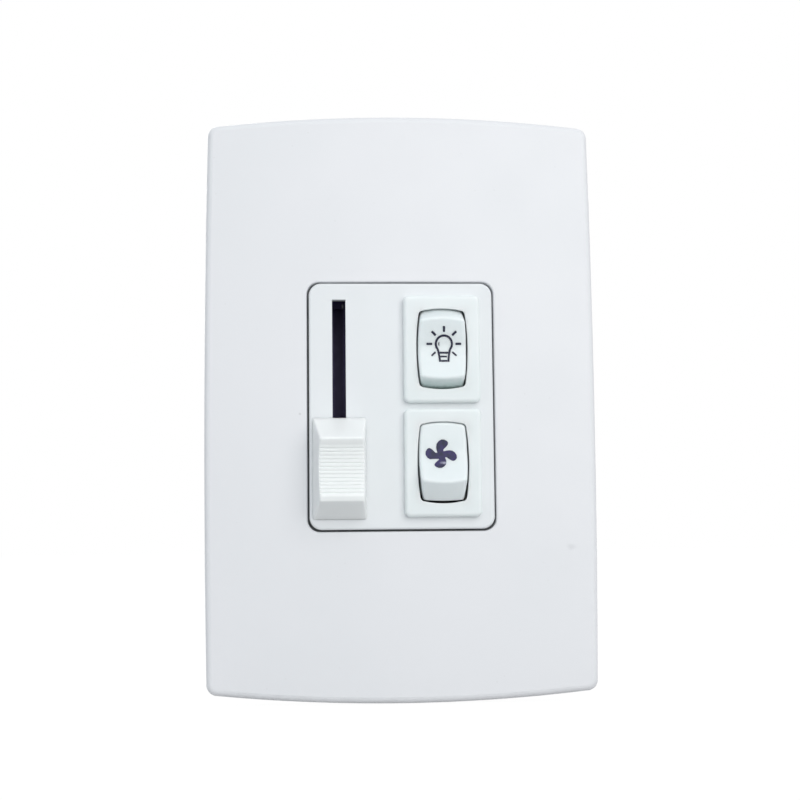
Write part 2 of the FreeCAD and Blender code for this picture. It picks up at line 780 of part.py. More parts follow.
def build_rear_housing():
    """Build the rear half of the module."""
    body = new_body("rear_housing")
    drop = minus("panel_drop")
    outline = sketch_on(body, "XZ_Plane")
    centred(outline, "housing_width", "housing_height", "0", drop)
    pad(body, outline, "housing_depth", turned=True)
    deep = number("housing_depth")
    dress(body, "Chamfer", "housing_corner", along_y(0, deep))
    dress(body, "Chamfer", "housing_wall / 2", flat_at_y(deep))

    hollow = sketch_on(body, "XZ_Plane")
    centred(hollow, "opening_width", "opening_height", "0", drop)
    pocket(body, hollow, "housing_inner")

    bosses = sketch_on(body, "XZ_Plane", minus("board_rear"))
    wells = sketch_on(body, "XZ_Plane", minus("housing_depth"))
    bores = sketch_on(body, "XZ_Plane", minus("housing_depth"))
    for level in ("fixing_high_z", "fixing_low_z"):
        circle(bosses, "fixing_x", level, "boss_radius")
        circle(wells, "fixing_x", level, "counter_radius")
        circle(bores, "fixing_x", level, "bore_radius")
    pad(body, bosses, "housing_depth - board_rear - housing_wall / 2", turned=True)
    pocket(body, wells, "housing_depth - fixing_seat", turned=True)
    pocket(body, bores, "housing_depth", turned=True)

    notch = sketch_on(body, "XZ_Plane", minus("housing_depth"))
    rectangle(notch, "0 - block_width / 2 - block_gap", "block_width / 2 + block_gap",
              "0 - panel_drop - housing_height / 2 - 1", "block_high_z + block_gap")
    pocket(body, notch, "housing_depth - board_rear", turned=True)

    vents = sketch_on(body, "XZ_Plane", minus("housing_depth"))
    for step in range(-2, 3):
        centred(vents, "vent_width", "vent_height", "sink_offset", f"sink_lift + {step} * vent_pitch")
    pocket(body, vents, "housing_wall + 1", turned=True)


# Screws that pull housing, board and face together

def cross_recess(name, x, z, back, reach, sink):
    """Make the cross-shaped tool for a screw head that faces the back."""
    wide = box(name + "_bar", (f"{x} - {reach}", f"{x} + {reach}"), (f"{back} - {sink}", f"{back} + 1"),
               (f"{z} - 0.35", f"{z} + 0.35"))
    tall = box(name + "_bar", (f"{x} - 0.35", f"{x} + 0.35"), (f"{back} - {sink}", f"{back} + 1"),
               (f"{z} - {reach}", f"{z} + {reach}"))
    return [wide, tall]


def build_housing_screws():
    """Build the two self-tapping screws."""
    screws = []
    for level in ("fixing_high_z", "fixing_low_z"):
        head_back = "fixing_seat + fixing_head_height"
        across = ("fixing_x", level)
        head = rod("screw_head", "y", "fixing_seat", head_back, across, "fixing_head_radius")
        shank = rod("screw_shank", "y", "board_front - fixing_bite", "fixing_seat", across, "fixing_radius")
        blank = fuse("screw_blank", [head, shank], keep=False)
        tools = cross_recess("screw_recess", "fixing_x", level, head_back, "1.5", "1.0")
        screws.append(cut("screw", blank, tools, keep=False))
    group("housing_screws", screws)


def switch_levels():
    """Give the two switch names with their heights."""
    return (("light", "light_height"), ("fan", minus("fan_drop")))


def build_circuit_board():
    """Build the board with its screw holes and the slots for the switch pins."""
    body = new_body("circuit_board")
    drop = minus("panel_drop")
    plan = sketch_on(body, "XZ_Plane", minus("board_rear"))
    centred(plan, "opening_width - 2 * board_gap", "opening_height - 2 * board_gap", "0", drop)
    pad(body, plan, "board_wall")
    holes = sketch_on(body, "XZ_Plane", minus("board_front"))
    for level in ("fixing_high_z", "fixing_low_z"):
        circle(holes, "fixing_x", level, "bore_radius")
    for _, level in switch_levels():
        for step in ("0 - pin_reach", "0", "pin_reach"):
            centred(holes, "pin_width + 4 * pin_fit", "pin_sheet + 4 * pin_fit",
                    "switch_offset", f"{level} + {step}")
    pocket(body, holes)


# Slide control: folded case, track strip, carriage with lever, wiper and knob

def build_slide_control():
    """Build the slide potentiometer."""
    body = new_body("slide_case")
    plan = sketch_on(body, "XZ_Plane", minus("board_front"))
    side = "case_width / 2"
    rectangle(plan, f"slot_x - {side}", f"slot_x + {side}", "case_low", "case_high")
    pad(body, plan, "board_front - case_front")
    hollow = sketch_on(body, "XZ_Plane", minus("board_front"))
    inset = "case_width / 2 - track_sheet"
    rectangle(hollow, f"slot_x - ({inset})", f"slot_x + {inset}", "case_low + track_sheet",
              "case_high - track_sheet")
    pocket(body, hollow, "board_front - case_front - track_sheet", turned=True)
    slot = sketch_on(body, "XZ_Plane", minus("case_front"))
    gap = "lever_wall / 2 + carriage_gap"
    rectangle(slot, f"slot_x - ({gap})", f"slot_x + {gap}",
              "lever_low - lever_height / 2 - slot_spare", "lever_high + lever_height / 2 + slot_spare")
    pocket(body, slot, "track_sheet + 0.2")

    strip_gap = "track_sheet + 0.1"
    strip = box("slide_track",
                (f"slot_x - {side} + {strip_gap}", f"slot_x + {side} - ({strip_gap})"),
                ("board_front - track_wall", "board_front"),
                (f"case_low + {strip_gap}", f"case_high - ({strip_gap})"))
    SUBPARTS.append(strip)

    block = box("carriage_block", ("slot_x - carriage_width / 2", "slot_x + carriage_width / 2"),
                ("carriage_front", "carriage_back"),
                ("lever_low - carriage_length / 2", "lever_low + carriage_length / 2"))
    lever = box("carriage_lever", ("slot_x - lever_wall / 2", "slot_x + lever_wall / 2"),
                (minus("lever_tip"), "carriage_front"),
                ("lever_low - lever_height / 2", "lever_low + lever_height / 2"))
    fuse("slide_lever", [block, lever])

    wiper = box("slide_wiper", ("slot_x - wiper_width / 2", "slot_x + wiper_width / 2"),
                ("carriage_back", "carriage_back + wiper_wall"),
                ("lever_low - carriage_length / 2 + 1", "lever_low + carriage_length / 2 - 1"))
    SUBPARTS.append(wiper)


def knob_y(height):
    """Give the place along Y of a height above the knob's base."""
    return f"0 - knob_base - ({height})"


def knob_z(run):
    """Give the place along Z of a run down from the knob's top end."""
    return f"knob_top - ({run})"


def build_slide_knob():
    """Build the knob: steep top end, step, ridged finger scoop, nose and drafted sides."""
    body = new_body("slide_knob")
    profile = sketch_on(body, "YZ_Plane", "slot_x - knob_width / 2")
    stations = [("0", "0"), ("knob_top_run", "knob_height"), ("scoop_start", "scoop_low"),
                ("scoop_end", "scoop_high"), ("scoop_end + knob_nose_run", "scoop_high - 0.15"),
                ("knob_length", "0")]
    points = [(knob_y(height), knob_z(run)) for run, height in stations]
    loop(profile, points, {2: ("scoop_radius", -1)})
    pad(body, profile, "knob_width")
    floor = -number("knob_base")
    wide = number("knob_width")
    dress(body, "Fillet", "knob_round",
          lambda edge: box_of(edge).XLength > wide - 1e-3 and box_of(edge).YMax < floor - 0.5)

    sides = sketch_on(body, "XY_Plane", knob_z("knob_length + 1"))
    base = minus("knob_base")
    top = knob_y("knob_height")
    over = knob_y("knob_height + 1")
    past = "knob_width / 2 + 1"
    right = "slot_x + knob_width / 2 - knob_right_draft"
    left = "slot_x - knob_width / 2 + knob_left_draft"
    loop(sides, [("slot_x + knob_width / 2", base), (right, top), (right, over), (f"slot_x + {past}", over),
                 (f"slot_x + {past}", base)])
    loop(sides, [("slot_x - knob_width / 2", base), (left, top), (left, over), (f"slot_x - ({past})", over),
                 (f"slot_x - ({past})", base)])
    pocket(body, sides, "knob_length + 2", turned=True)

    def shoulder(edge):
        space = box_of(edge)
        return space.XLength < wide / 2 and space.YMin < floor - 1e-3

    dress(body, "Fillet", "knob_round", shoulder)

    ridges = sketch_on(body, "YZ_Plane", "slot_x - knob_width / 2 - 1")
    start = FreeCAD.Vector(number("scoop_start"), number("scoop_low"), 0)
    end = FreeCAD.Vector(number("scoop_end"), number("scoop_high"), 0)
    ridge_count = int((end - start).Length / number("ridge_pitch"))
    lean = "atan((scoop_high - scoop_low) / knob_scoop_run)"
    rise = "sqrt(scoop_radius ^ 2 - scoop_chord ^ 2 / 4)"
    mid_run = "(scoop_start + scoop_end) / 2"
    mid_height = "(scoop_low + scoop_high) / 2"
    hub_run = f"{mid_run} - {rise} * sin({lean})"
    hub_height = f"{mid_height} + {rise} * cos({lean})"
    for step in range(ridge_count):
        shift = step - (ridge_count - 1) / 2
        turn = f"{lean} + {shift} * ridge_pitch / scoop_radius * 1 rad"
        circle(ridges, knob_y(f"{hub_height} - scoop_radius * cos({turn})"),
               knob_z(f"{hub_run} + scoop_radius * sin({turn})"), "ridge_radius")
    pocket(body, ridges, "knob_width + 2", turned=True)

    socket = sketch_on(body, "XZ_Plane", "knob_base")
    centred(socket, "lever_wall + 2 * lever_fit", "lever_height + 2 * lever_fit", "slot_x", "lever_low")
    pocket(body, socket, "lever_bite + lever_fit", turned=True)


# Rocker switches

def build_rocker(name, level, tilt):
    """Build a rocker about its pivot: two sloped halves, bowed ends and sides, pins and stem."""
    body = new_body(name + "_rocker")
    profile = sketch_on(body, "YZ_Plane", minus("rocker_width / 2"))
    rise = "(rocker_crest_rise - rocker_dip_rise) / rocker_crest_reach"
    far = minus(f"dip_arm + {rise} * rocker_span")
    foot = "rocker_foot_depth"
    heel = minus("tip_arm + 2 * (tip_arm + rocker_foot_depth) / (rocker_tip_reach - rocker_foot_reach)")
    loop(profile,
         [(minus("dip_arm"), "0"), (far, "rocker_span"), (heel, "rocker_span"),
          (foot, "rocker_foot_reach"), (foot, minus("rocker_foot_reach")), (heel, minus("rocker_span")),
          (far, minus("rocker_span"))])
    pad(body, profile, "rocker_width")

    # Bowed end faces, cut along their own slope
    wide = "rocker_width / 2"
    for side in (1, -1):
        end = sketch_on(body, "XZ_Plane")
        end.AttachmentOffset = FreeCAD.Placement(
            FreeCAD.Vector(0, 0, 0), FreeCAD.Rotation(X_AXIS, 1))
        bind(end, "AttachmentOffset.Rotation.Angle", "end_slant" if side > 0 else minus("end_slant"))
        bind(end, "AttachmentOffset.Base.y", "rocker_crest_reach" if side > 0 else minus("rocker_crest_reach"))
        bind(end, "AttachmentOffset.Base.z", "crest_arm")
        flip = (lambda text: text) if side > 0 else minus
        points = [(minus(wide), flip("0 - rocker_end_bow")), (wide, flip("0 - rocker_end_bow")),
                  (f"{wide} + 1", flip("0 - rocker_end_bow")), (f"{wide} + 1", flip("6")),
                  (f"0 - {wide} - 1", flip("6")), (f"0 - {wide} - 1", flip("0 - rocker_end_bow"))]
        loop(end, points, {0: ("end_radius", -1 if side > 0 else 1)})
        slice_off = pocket(body, end)
        slice_off.SideType = "Symmetric"

    # Bowed sides
    sides = sketch_on(body, "XZ_Plane", "2 * rocker_pivot_depth")
    bowed = "rocker_width / 2 - side_fall"
    reach = "rocker_tip_reach"
    past = "rocker_width / 2 + 2"
    tall = "rocker_span + 2"
    loop(sides, [(bowed, minus(reach)), (bowed, reach), (bowed, tall), (past, tall), (past, minus(tall)),
                 (bowed, minus(tall))], {0: ("side_radius", 1)})
    loop(sides, [(minus(bowed), reach), (minus(bowed), minus(reach)), (minus(bowed), minus(tall)),
                 (minus(past), minus(tall)), (minus(past), tall), (minus(bowed), tall)],
         {0: ("side_radius", 1)})
    pocket(body, sides, "4 * rocker_pivot_depth")

    dip = -number("dip_arm")

    def crease(edge):
        space = box_of(edge)
        return abs(space.YMin - dip) < 1e-3 and abs(space.YMax - dip) < 1e-3 and space.ZLength < 1e-3

    dress(body, "Fillet", "rocker_dip_round", crease)
    brow = number(minus("tip_arm"))
    reach_out = number("rocker_crest_reach - rocker_end_bow") - 0.3

    def corner(edge):
        space = box_of(edge)
        long_slope = space.YLength > 1.5 and space.YMin < dip and space.XLength < 1.2
        return long_slope and min(abs(space.ZMin), abs(space.ZMax)) > reach_out - 0.4

    dress(body, "Fillet", "rocker_corner", corner)

    def brim(edge):
        space = box_of(edge)
        return space.YMax < brow - 1.0 and not (space.XLength > 7 and space.ZLength < 1e-3)

    dress(body, "Fillet", "rocker_round", brim)

    pins = sketch_on(body, "YZ_Plane", minus("trunnion_reach"))
    circle(pins, "0", "0", "trunnion_radius")
    pad(body, pins, "2 * trunnion_reach")
    stem = sketch_on(body, "XZ_Plane", minus("stem_reach"))
    circle(stem, "0", "0", "stem_radius")
    pad(body, stem, "stem_reach")
    bore = sketch_on(body, "XZ_Plane", minus("stem_reach"))
    circle(bore, "0", "0", "plunger_radius + plunger_fit")
    pocket(body, bore, "stem_reach - plunger_reach + plunger_length + spring_length", turned=True)
    place(body, "switch_offset", "pivot_y", level, tilt)

    tail = "plunger_reach - plunger_length"
    pin = rod(name + "_pin", "y", tail, "plunger_reach - plunger_radius", ("0", "0"), "plunger_radius")
    nose = doc.addObject("Part::Sphere", name + "_nose")
    bind(nose, "Radius", "plunger_radius")
    bind(nose, "Placement.Base.y", "plunger_reach - plunger_radius")
    plunger = fuse(name + "_plunger", [pin, nose])
    place(plunger, "switch_offset", "pivot_y", level, tilt)

    coil = rod(name + "_coil", "y", f"{tail} - spring_length", tail, ("0", "0"), "plunger_radius")
    core = rod(name + "_core", "y", f"{tail} - spring_length - 1", f"{tail} + 1", ("0", "0"),
               "plunger_radius - spring_wall")
    spring = cut(name + "_spring", coil, [core])
    place(spring, "switch_offset", "pivot_y", level, tilt)


def build_switch_body(name, level):
    """Build the switch case: bezel, bowed opening, flared well, pin holes and snap barbs."""
    body = new_body(name + "_switch_case")
    bezel = sketch_on(body, "XZ_Plane", "panel_front")
    centred(bezel, "bezel_width", "2 * bezel_half")
    pad(body, bezel, "bezel_rise")
    front = -number("bezel_front")
    dress(body, "Fillet", "bezel_corner", along_y(front, -number("panel_front")))
    dress(body, "Fillet", "bezel_round", flat_at_y(front))

    case = sketch_on(body, "XZ_Plane", minus("base_back_y"))
    centred(case, "2 * body_side", "2 * body_half")
    pad(body, case, "base_back_y + panel_front")

    well = sketch_on(body, "YZ_Plane", minus("well_side"))
    brow = minus("bezel_front - bezel_wall")
    knee = minus("bezel_front - rocker_tip_drop")
    past = "base_back_y + 1"
    loop(well, [(brow, "opening_half"), (brow, minus("opening_half")), (knee, minus("cavity_half")),
                (past, minus("cavity_half")), (past, "cavity_half"), (knee, "cavity_half")])
    pocket(body, well, "2 * well_side", turned=True)

    mouth = sketch_on(body, "XZ_Plane", "bezel_front")
    end_x = "opening_side - rocker_side_bow"
    end_z = "mouth_corner_z"
    end_arc = f"(({end_x}) ^ 2 + rocker_end_bow ^ 2) / (2 * rocker_end_bow)"
    loop(mouth, [(minus(end_x), minus(end_z)), (end_x, minus(end_z)), (end_x, end_z), (minus(end_x), end_z)],
         {0: (end_arc, 1), 1: ("mouth_radius", 1), 2: (end_arc, 1), 3: ("mouth_radius", 1)})
    pocket(body, mouth, "bezel_wall + 0.1")
    dress(body, "Fillet", "rocker_corner", along_y(front, front + number("bezel_wall")))
    dress(body, "Fillet", "opening_round",
          flat_at_y(front, inside=(number("opening_side") + 0.1, number("opening_half") + 0.1)))

    holes = sketch_on(body, "YZ_Plane", minus("body_side + 1"))
    circle(holes, "pivot_y", "0", "trunnion_radius + trunnion_fit")
    pocket(body, holes, "2 * (body_side + 1)", turned=True)

    # Snap barbs that catch behind the panel
    shelf = minus("panel_back - 0.15")
    for side in (1, -1):
        for step in ("0 - 0.55 * body_half", "0.55 * body_half"):
            barb = sketch_on(body, "XY_Plane", f"{step} - 2")
            flip = (lambda text: text) if side > 0 else minus
            points = [(flip("body_side - 0.2"), shelf), (flip("body_side + switch_barb"), shelf),
                      (flip("body_side"), f"{shelf} + 4 * switch_barb"),
                      (flip("body_side - 0.2"), f"{shelf} + 4 * switch_barb")]
            loop(barb, points)
            pad(body, barb, "4")
    place(body, "switch_offset", "0", level)


def build_contacts(name, level, tilt):
    """Build the see-saw blade, the base and the three terminals of a switch."""
    front = "0 - bead_radius + 0.05 - blade_wall"
    back = "0 - bead_radius + 0.05"
    strip = box(name + "_strip", ("0 - blade_width / 2", "blade_width / 2"), (front, back),
                ("0 - blade_length / 2", "blade_length / 2"))
    bead = rod(name + "_bead", "x", "0 - blade_width / 2", "blade_width / 2", ("0", "0"), "bead_radius")
    buttons = [rod(name + "_button", "y", back, f"{back} + button_height", ("0", reach), "button_radius")
               for reach in ("button_reach", "0 - button_reach")]
    blade = fuse(name + "_contact_blade", [strip, bead] + buttons)
    place(blade, "switch_offset", "fulcrum_y", level, tilt)

    pin_half = "pin_width / 2 + pin_fit"
    slab = box(name + "_slab", ("0 - base_side", "base_side"), ("base_front_y", "base_back_y"),
               ("0 - base_half", "base_half"))
    slots = []
    for step in ("0 - pin_reach", "0", "pin_reach"):
        low = f"{step} - pin_sheet / 2 - pin_fit"
        high = f"{step} + pin_sheet / 2 + pin_fit"
        slots.append(box(name + "_pin_slot", (minus(pin_half), pin_half),
                         ("base_front_y - 1", "base_back_y + 1"), (low, high)))
    base = cut(name + "_switch_base", slab, slots)
    place(base, "switch_offset", "0", level)

    wide = ("0 - terminal_width / 2", "terminal_width / 2")
    pin_wide = ("0 - pin_width / 2", "pin_width / 2")
    sheet_y = ("contact_y", "base_front_y")
    pin_y = ("base_front_y", "board_rear - 0.1")
    pieces = []
    for sign in ("0 - ", "0 + "):
        inner = f"{sign}(button_reach - button_radius)"
        outer = f"{sign}(pin_reach + pin_sheet / 2)"
        span = (outer, inner) if sign == "0 - " else (inner, outer)
        tab = box(name + "_tab", wide, sheet_y, span)
        pin = box(name + "_pin", pin_wide, pin_y,
                  (f"{sign}pin_reach - pin_sheet / 2", f"{sign}pin_reach + pin_sheet / 2"))
        pieces.append(fuse(name + "_end", [tab, pin], keep=False))
    foot = box(name + "_foot", wide, sheet_y, ("0 - ear_height", "ear_height"))
    pin = box(name + "_pin", pin_wide, pin_y, ("0 - pin_sheet / 2", "pin_sheet / 2"))
    ears = [box(name + "_ear", (f"{side} * ear_spread / 2 - terminal_sheet / 2",
                                f"{side} * ear_spread / 2 + terminal_sheet / 2"),
                ("fulcrum_y", "contact_y"), ("0 - ear_height", "ear_height")) for side in ("-1", "1")]
    stand = fuse(name + "_stand", [foot, pin] + ears, keep=False)
    cradle = rod(name + "_cradle", "x", "0 - blade_width", "blade_width", ("fulcrum_y", "0"),
                 "bead_radius + bead_fit")
    pieces.append(cut(name + "_middle", stand, [cradle], keep=False))
    terminals = group(name + "_terminals", pieces)
    place(terminals, "switch_offset", "0", level)


# Terminal block with square wire entries below and clamp screws that face the back

def build_terminal_block():
    """Build the block and its clamp screws."""
    body = new_body("terminal_block")
    plan = sketch_on(body, "XZ_Plane", minus("block_back"))
    rectangle(plan, "0 - block_width / 2", "block_width / 2", "block_low_z", "block_high_z")
    pad(body, plan, "block_height")
    dress(body, "Chamfer", "block_margin", flat_at_y(number("block_back")))
    entries = sketch_on(body, "XY_Plane", "block_low_z")
    wells = sketch_on(body, "XZ_Plane", minus("block_back"))
    ways = int(number("block_ways"))
    middle = "(block_low_z + block_high_z) / 2"
    columns = [f"({way} - (block_ways - 1) / 2) * block_pitch" for way in range(ways)]
    for x in columns:
        centred(entries, "entry_size", "entry_size", x, "board_rear + entry_lift")
        circle(wells, x, middle, "clamp_radius + clamp_fit")
    pocket(body, entries, "entry_depth", turned=True)
    pocket(body, wells, "clamp_sink + clamp_height", turned=True)

    screws = []
    for x in columns:
        back = "block_back - clamp_sink"
        head = rod("clamp_head", "y", f"{back} - clamp_height", back, (x, middle), "clamp_radius")
        groove = box("clamp_groove", (f"{x} - 2 * clamp_radius", f"{x} + 2 * clamp_radius"),
                     (f"{back} - 0.7", f"{back} + 1"), (f"{middle} - 0.3", f"{middle} + 0.3"))
        screws.append(cut("clamp_screw", head, [groove], keep=False))
    group("terminal_screws", screws)


# Speed circuit on the back of the board

def build_power_stage():
    """Build the finned heat sink, the triac below it and its bolt."""
    left = "sink_offset - sink_width / 2"
    right = "sink_offset + sink_width / 2"
    high = "sink_low_z + sink_height"
    slab = box("sink_slab", (left, right), ("sink_front", "sink_front + sink_wall"), ("sink_low_z", high))
    fins = []
    gap = "(sink_width - sink_fin_wall) / 4"
    for step in range(5):
        if step == 2:
            continue
        low = f"{left} + {step} * {gap}"
        fins.append(box("sink_fin", (low, f"{low} + sink_fin_wall"),
                        ("sink_front + sink_wall", "sink_front + sink_wall + sink_fin"),
                        ("sink_low_z", high)))
    posts = []
    for span in ((left, f"{left} + sink_post"), (f"{right} - sink_post", right)):
        posts.append(box("sink_post", span, ("board_rear", "sink_front"), (f"{high} - sink_post", high)))
    blank = fuse("sink_blank", [slab] + fins + posts, keep=False)
    across = ("sink_offset", "tab_hole_z")
    hole = rod("sink_hole", "y", "sink_front - 1", "sink_front + sink_wall + 1", across,
               "triac_bolt + fixing_clear")
    cut("heat_sink", blank, [hole])

    side = ("sink_offset - triac_width / 2", "sink_offset + triac_width / 2")
    top_z = "triac_low_z + triac_length"
    case = box("triac_case", side, ("sink_front - triac_wall", "sink_front"), ("triac_low_z", top_z))
    tab = box("triac_tab_plate", side, ("tab_front", "sink_front"), (top_z, f"{top_z} + triac_tab_length"))
    legs = []
    for step in (-1, 0, 1):
        middle = f"sink_offset + {step} * 2.54"
        span = (f"{middle} - triac_leg / 2", f"{middle} + triac_leg / 2")
        low = f"triac_low_z - 2.2 - {abs(step)} * 0"
        run_y = ("tab_front - 1.6", "tab_front - 1.0")
        run = box("triac_run", span, run_y, (low, "triac_low_z"))
        drop = box("triac_drop", span, ("board_rear", "tab_front - 1.0"), (low, f"{low} + triac_leg"))
        legs += [run, drop]
    package = fuse("triac_package", [case, tab] + legs, keep=False)
    bore = rod("triac_bore", "y", "tab_front - 1", "sink_front + 1", across, "triac_bolt + fixing_clear")
    cut("triac", package, [bore])

    head = rod("bolt_head", "y", "tab_front - 1.6", "tab_front", across, "triac_bolt * 1.8")
    shank = rod("bolt_shank", "y", "tab_front", "sink_front + sink_wall", across, "triac_bolt")
    fuse("triac_bolt_screw", [head, shank])


def build_capacitor(label, width, depth, height, x, z):
    """Build a box capacitor on two leads."""
    foot = "board_rear + 0.4"
    case = box(label + "_case", (f"{x} - {width} / 2", f"{x} + {width} / 2"),
               (foot, f"board_rear + {height}"), (f"{z} - {depth} / 2", f"{z} + {depth} / 2"))
    leads = []
    for side in ("-1", "1"):
        middle = f"{x} + {side} * {width} * 0.38"
        leads.append(box(label + "_lead", (f"{middle} - lead_size / 2", f"{middle} + lead_size / 2"),
                         ("board_rear", foot), (f"{z} - lead_size / 2", f"{z} + lead_size / 2")))
    fuse(label, [case] + leads)


def build_choke():
    """Build the spool-shaped core and its copper winding."""
    across = ("0 - choke_offset", "choke_lift")
    top = "board_rear + choke_height"
    cheeks = [rod("choke_cheek_low", "y", "board_rear", "board_rear + choke_cheek", across, "choke_radius"),
              rod("choke_cheek_high", "y", f"{top} - choke_cheek", top, across, "choke_radius")]
    waist = rod("choke_post", "y", "board_rear", top, across, "choke_waist")
    fuse("choke_core", cheeks + [waist])
    low = "board_rear + choke_cheek + winding_gap"
    high = f"{top} - choke_cheek - winding_gap"
    wire = rod("winding_wire", "y", low, high, across, "choke_radius - 0.5")
    core = rod("winding_core", "y", f"{low} - 1", f"{high} + 1", across, "choke_waist + winding_gap")
    cut("choke_winding", wire, [core])


def axial(name, radius, length, x, y, z):
    """Make a round axial piece on two bent leads along X."""
    piece = rod(name + "_case", "x", f"{x} - {length} / 2", f"{x} + {length} / 2", (y, z), radius)
    leads = []
    for sign in ("-1", "1"):
        near = f"{x} + {sign} * {length} / 2"
        far = f"{near} + {sign} * lead_run"
        span = (far, near) if sign == "-1" else (near, far)
        bend = (far, f"{far} + lead_size") if sign == "-1" else (f"{far} - lead_size", far)
        thick = (f"{z} - lead_size / 2", f"{z} + lead_size / 2")
        leads.append(box(name + "_run", span, (f"{y} - lead_size / 2", f"{y} + lead_size / 2"), thick))
        leads.append(box(name + "_drop", bend, ("board_rear", f"{y} + lead_size / 2"), thick))
    return fuse(name, [piece] + leads, keep=False)


def build_small_parts():
    """Build the three resistors and the trigger diode."""
    rows = [axial("resistor", "resistor_radius", "resistor_length", "0 - resistor_offset", "resistor_y",
                  f"0 - resistor_drop - {step} * resistor_pitch") for step in range(3)]
    group("resistors", rows)
    diode = axial("trigger_diode", "diac_radius", "diac_length", "0 - diac_offset", "diac_y", "diac_lift")
    SUBPARTS.append(diode)


build_wall_plate()
build_support_frame()
build_module_face()
build_rear_housing()
build_housing_screws()
build_circuit_board()
build_slide_control()
build_slide_knob()
# The light rocker stands level, the fan rocker is pressed at its top end
for switch, height, rocker_tilt, blade_tilt in (
        ("light", "light_height", None, None),
        ("fan", minus("fan_drop"), minus("rocker_throw"), "blade_swing")):
    build_switch_body(switch, height)
    build_rocker(switch, height, rocker_tilt)
    build_contacts(switch, height, blade_tilt)
build_terminal_block()
build_power_stage()
build_capacitor("film_capacitor", "film_width", "film_depth", "film_height", "(0 - film_offset)", "film_lift")
build_capacitor("timing_capacitor", "timing_width", "timing_depth", "timing_height", "timing_offset",
                "(0 - timing_drop)")
build_choke()
build_small_parts()
doc.recompute()

for item in doc.Objects:
    if "Invalid" in item.State or "Error" in item.State:
        raise RuntimeError(f"{item.Label} did not build: {item.State}")
for part in SUBPARTS:
    if part.Shape.isNull() or not part.Shape.isValid():
        raise RuntimeError(f"{part.Label} has no sound shape")

os.makedirs("parts", exist_ok=True)
for part in SUBPARTS:
    part.Shape.exportStep(f"parts/{part.Label}.step")
    print(part.Label, len(part.Shape.Solids), round(part.Shape.Volume, 2))
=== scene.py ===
"""Looks of a wall fan and light controller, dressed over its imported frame.

X runs to the right, Z up and Y into the wall. Lengths are metres in the scene and millimetres
in the fields of the classes; angles are degrees, and pattern scales are cells per metre.
"""

import json
import logging
import math
from dataclasses import dataclass, field
from enum import Enum

import bmesh
import bpy
from mathutils import Matrix, Vector
from mathutils.bvhtree import BVHTree


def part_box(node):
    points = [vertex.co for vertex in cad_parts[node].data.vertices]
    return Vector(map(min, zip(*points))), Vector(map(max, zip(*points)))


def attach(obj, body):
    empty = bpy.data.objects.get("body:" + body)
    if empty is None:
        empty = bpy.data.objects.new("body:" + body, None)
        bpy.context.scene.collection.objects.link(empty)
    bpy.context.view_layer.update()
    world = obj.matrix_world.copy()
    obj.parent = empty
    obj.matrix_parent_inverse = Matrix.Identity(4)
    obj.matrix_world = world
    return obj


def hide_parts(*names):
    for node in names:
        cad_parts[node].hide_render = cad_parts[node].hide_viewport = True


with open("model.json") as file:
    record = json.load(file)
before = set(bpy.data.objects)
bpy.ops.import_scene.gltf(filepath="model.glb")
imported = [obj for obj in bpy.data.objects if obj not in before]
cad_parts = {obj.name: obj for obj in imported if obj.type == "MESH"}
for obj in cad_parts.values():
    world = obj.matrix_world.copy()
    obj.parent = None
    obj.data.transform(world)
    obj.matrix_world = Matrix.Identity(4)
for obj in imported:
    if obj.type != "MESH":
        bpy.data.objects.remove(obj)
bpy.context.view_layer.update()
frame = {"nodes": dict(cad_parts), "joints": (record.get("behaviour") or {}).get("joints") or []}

MM = 0.001
FULL_TURN = 360.0
LOG = logging.getLogger("fan_controller")

Colour = tuple[float, float, float]
Span = tuple[float, float]
Point = tuple[float, float]
Spot = tuple[float, float, float]
Socket = bpy.types.NodeSocket
SocketValue = Socket | float | int | tuple

WHITE: Colour = (1.0, 1.0, 1.0)
EVEN_REACH: Spot = (1.0, 1.0, 1.0)
KEY_COLOUR: Colour = (1.0, 0.985, 0.965)
SURROUND_COLOUR: Colour = (0.885, 0.94, 1.0)


class Slot(Enum):
    """Material slots of the record."""

    PLATE = "plate_plastic"
    PANEL = "panel_plastic"
    BEZEL = "bezel_plastic"
    ROCKER = "rocker_plastic"
    KNOB = "knob_plastic"
    FRAME = "frame_plastic"
    HOUSING = "housing_plastic"
    STEEL = "steel"
    BOARD = "board_laminate"
    BLACK_SHEET = "black_sheet"
    TRACK = "track_board"
    LEVER = "lever_nylon"
    COPPER = "copper"
    BRASS = "contact_brass"
    SPRING = "spring_steel"
    PHENOLIC = "phenolic"
    BLOCK = "block_plastic"
    SINK = "heat_sink_alloy"
    EPOXY = "epoxy_black"
    FILM = "film_case"
    TIMING = "timing_case"
    FERRITE = "ferrite"
    RESISTOR = "resistor_body"
    DIODE = "diode_body"


class Axis(Enum):
    """Axes along which a coated body ends in bare metal."""

    X = 0
    Z = 2


# Shader nodes

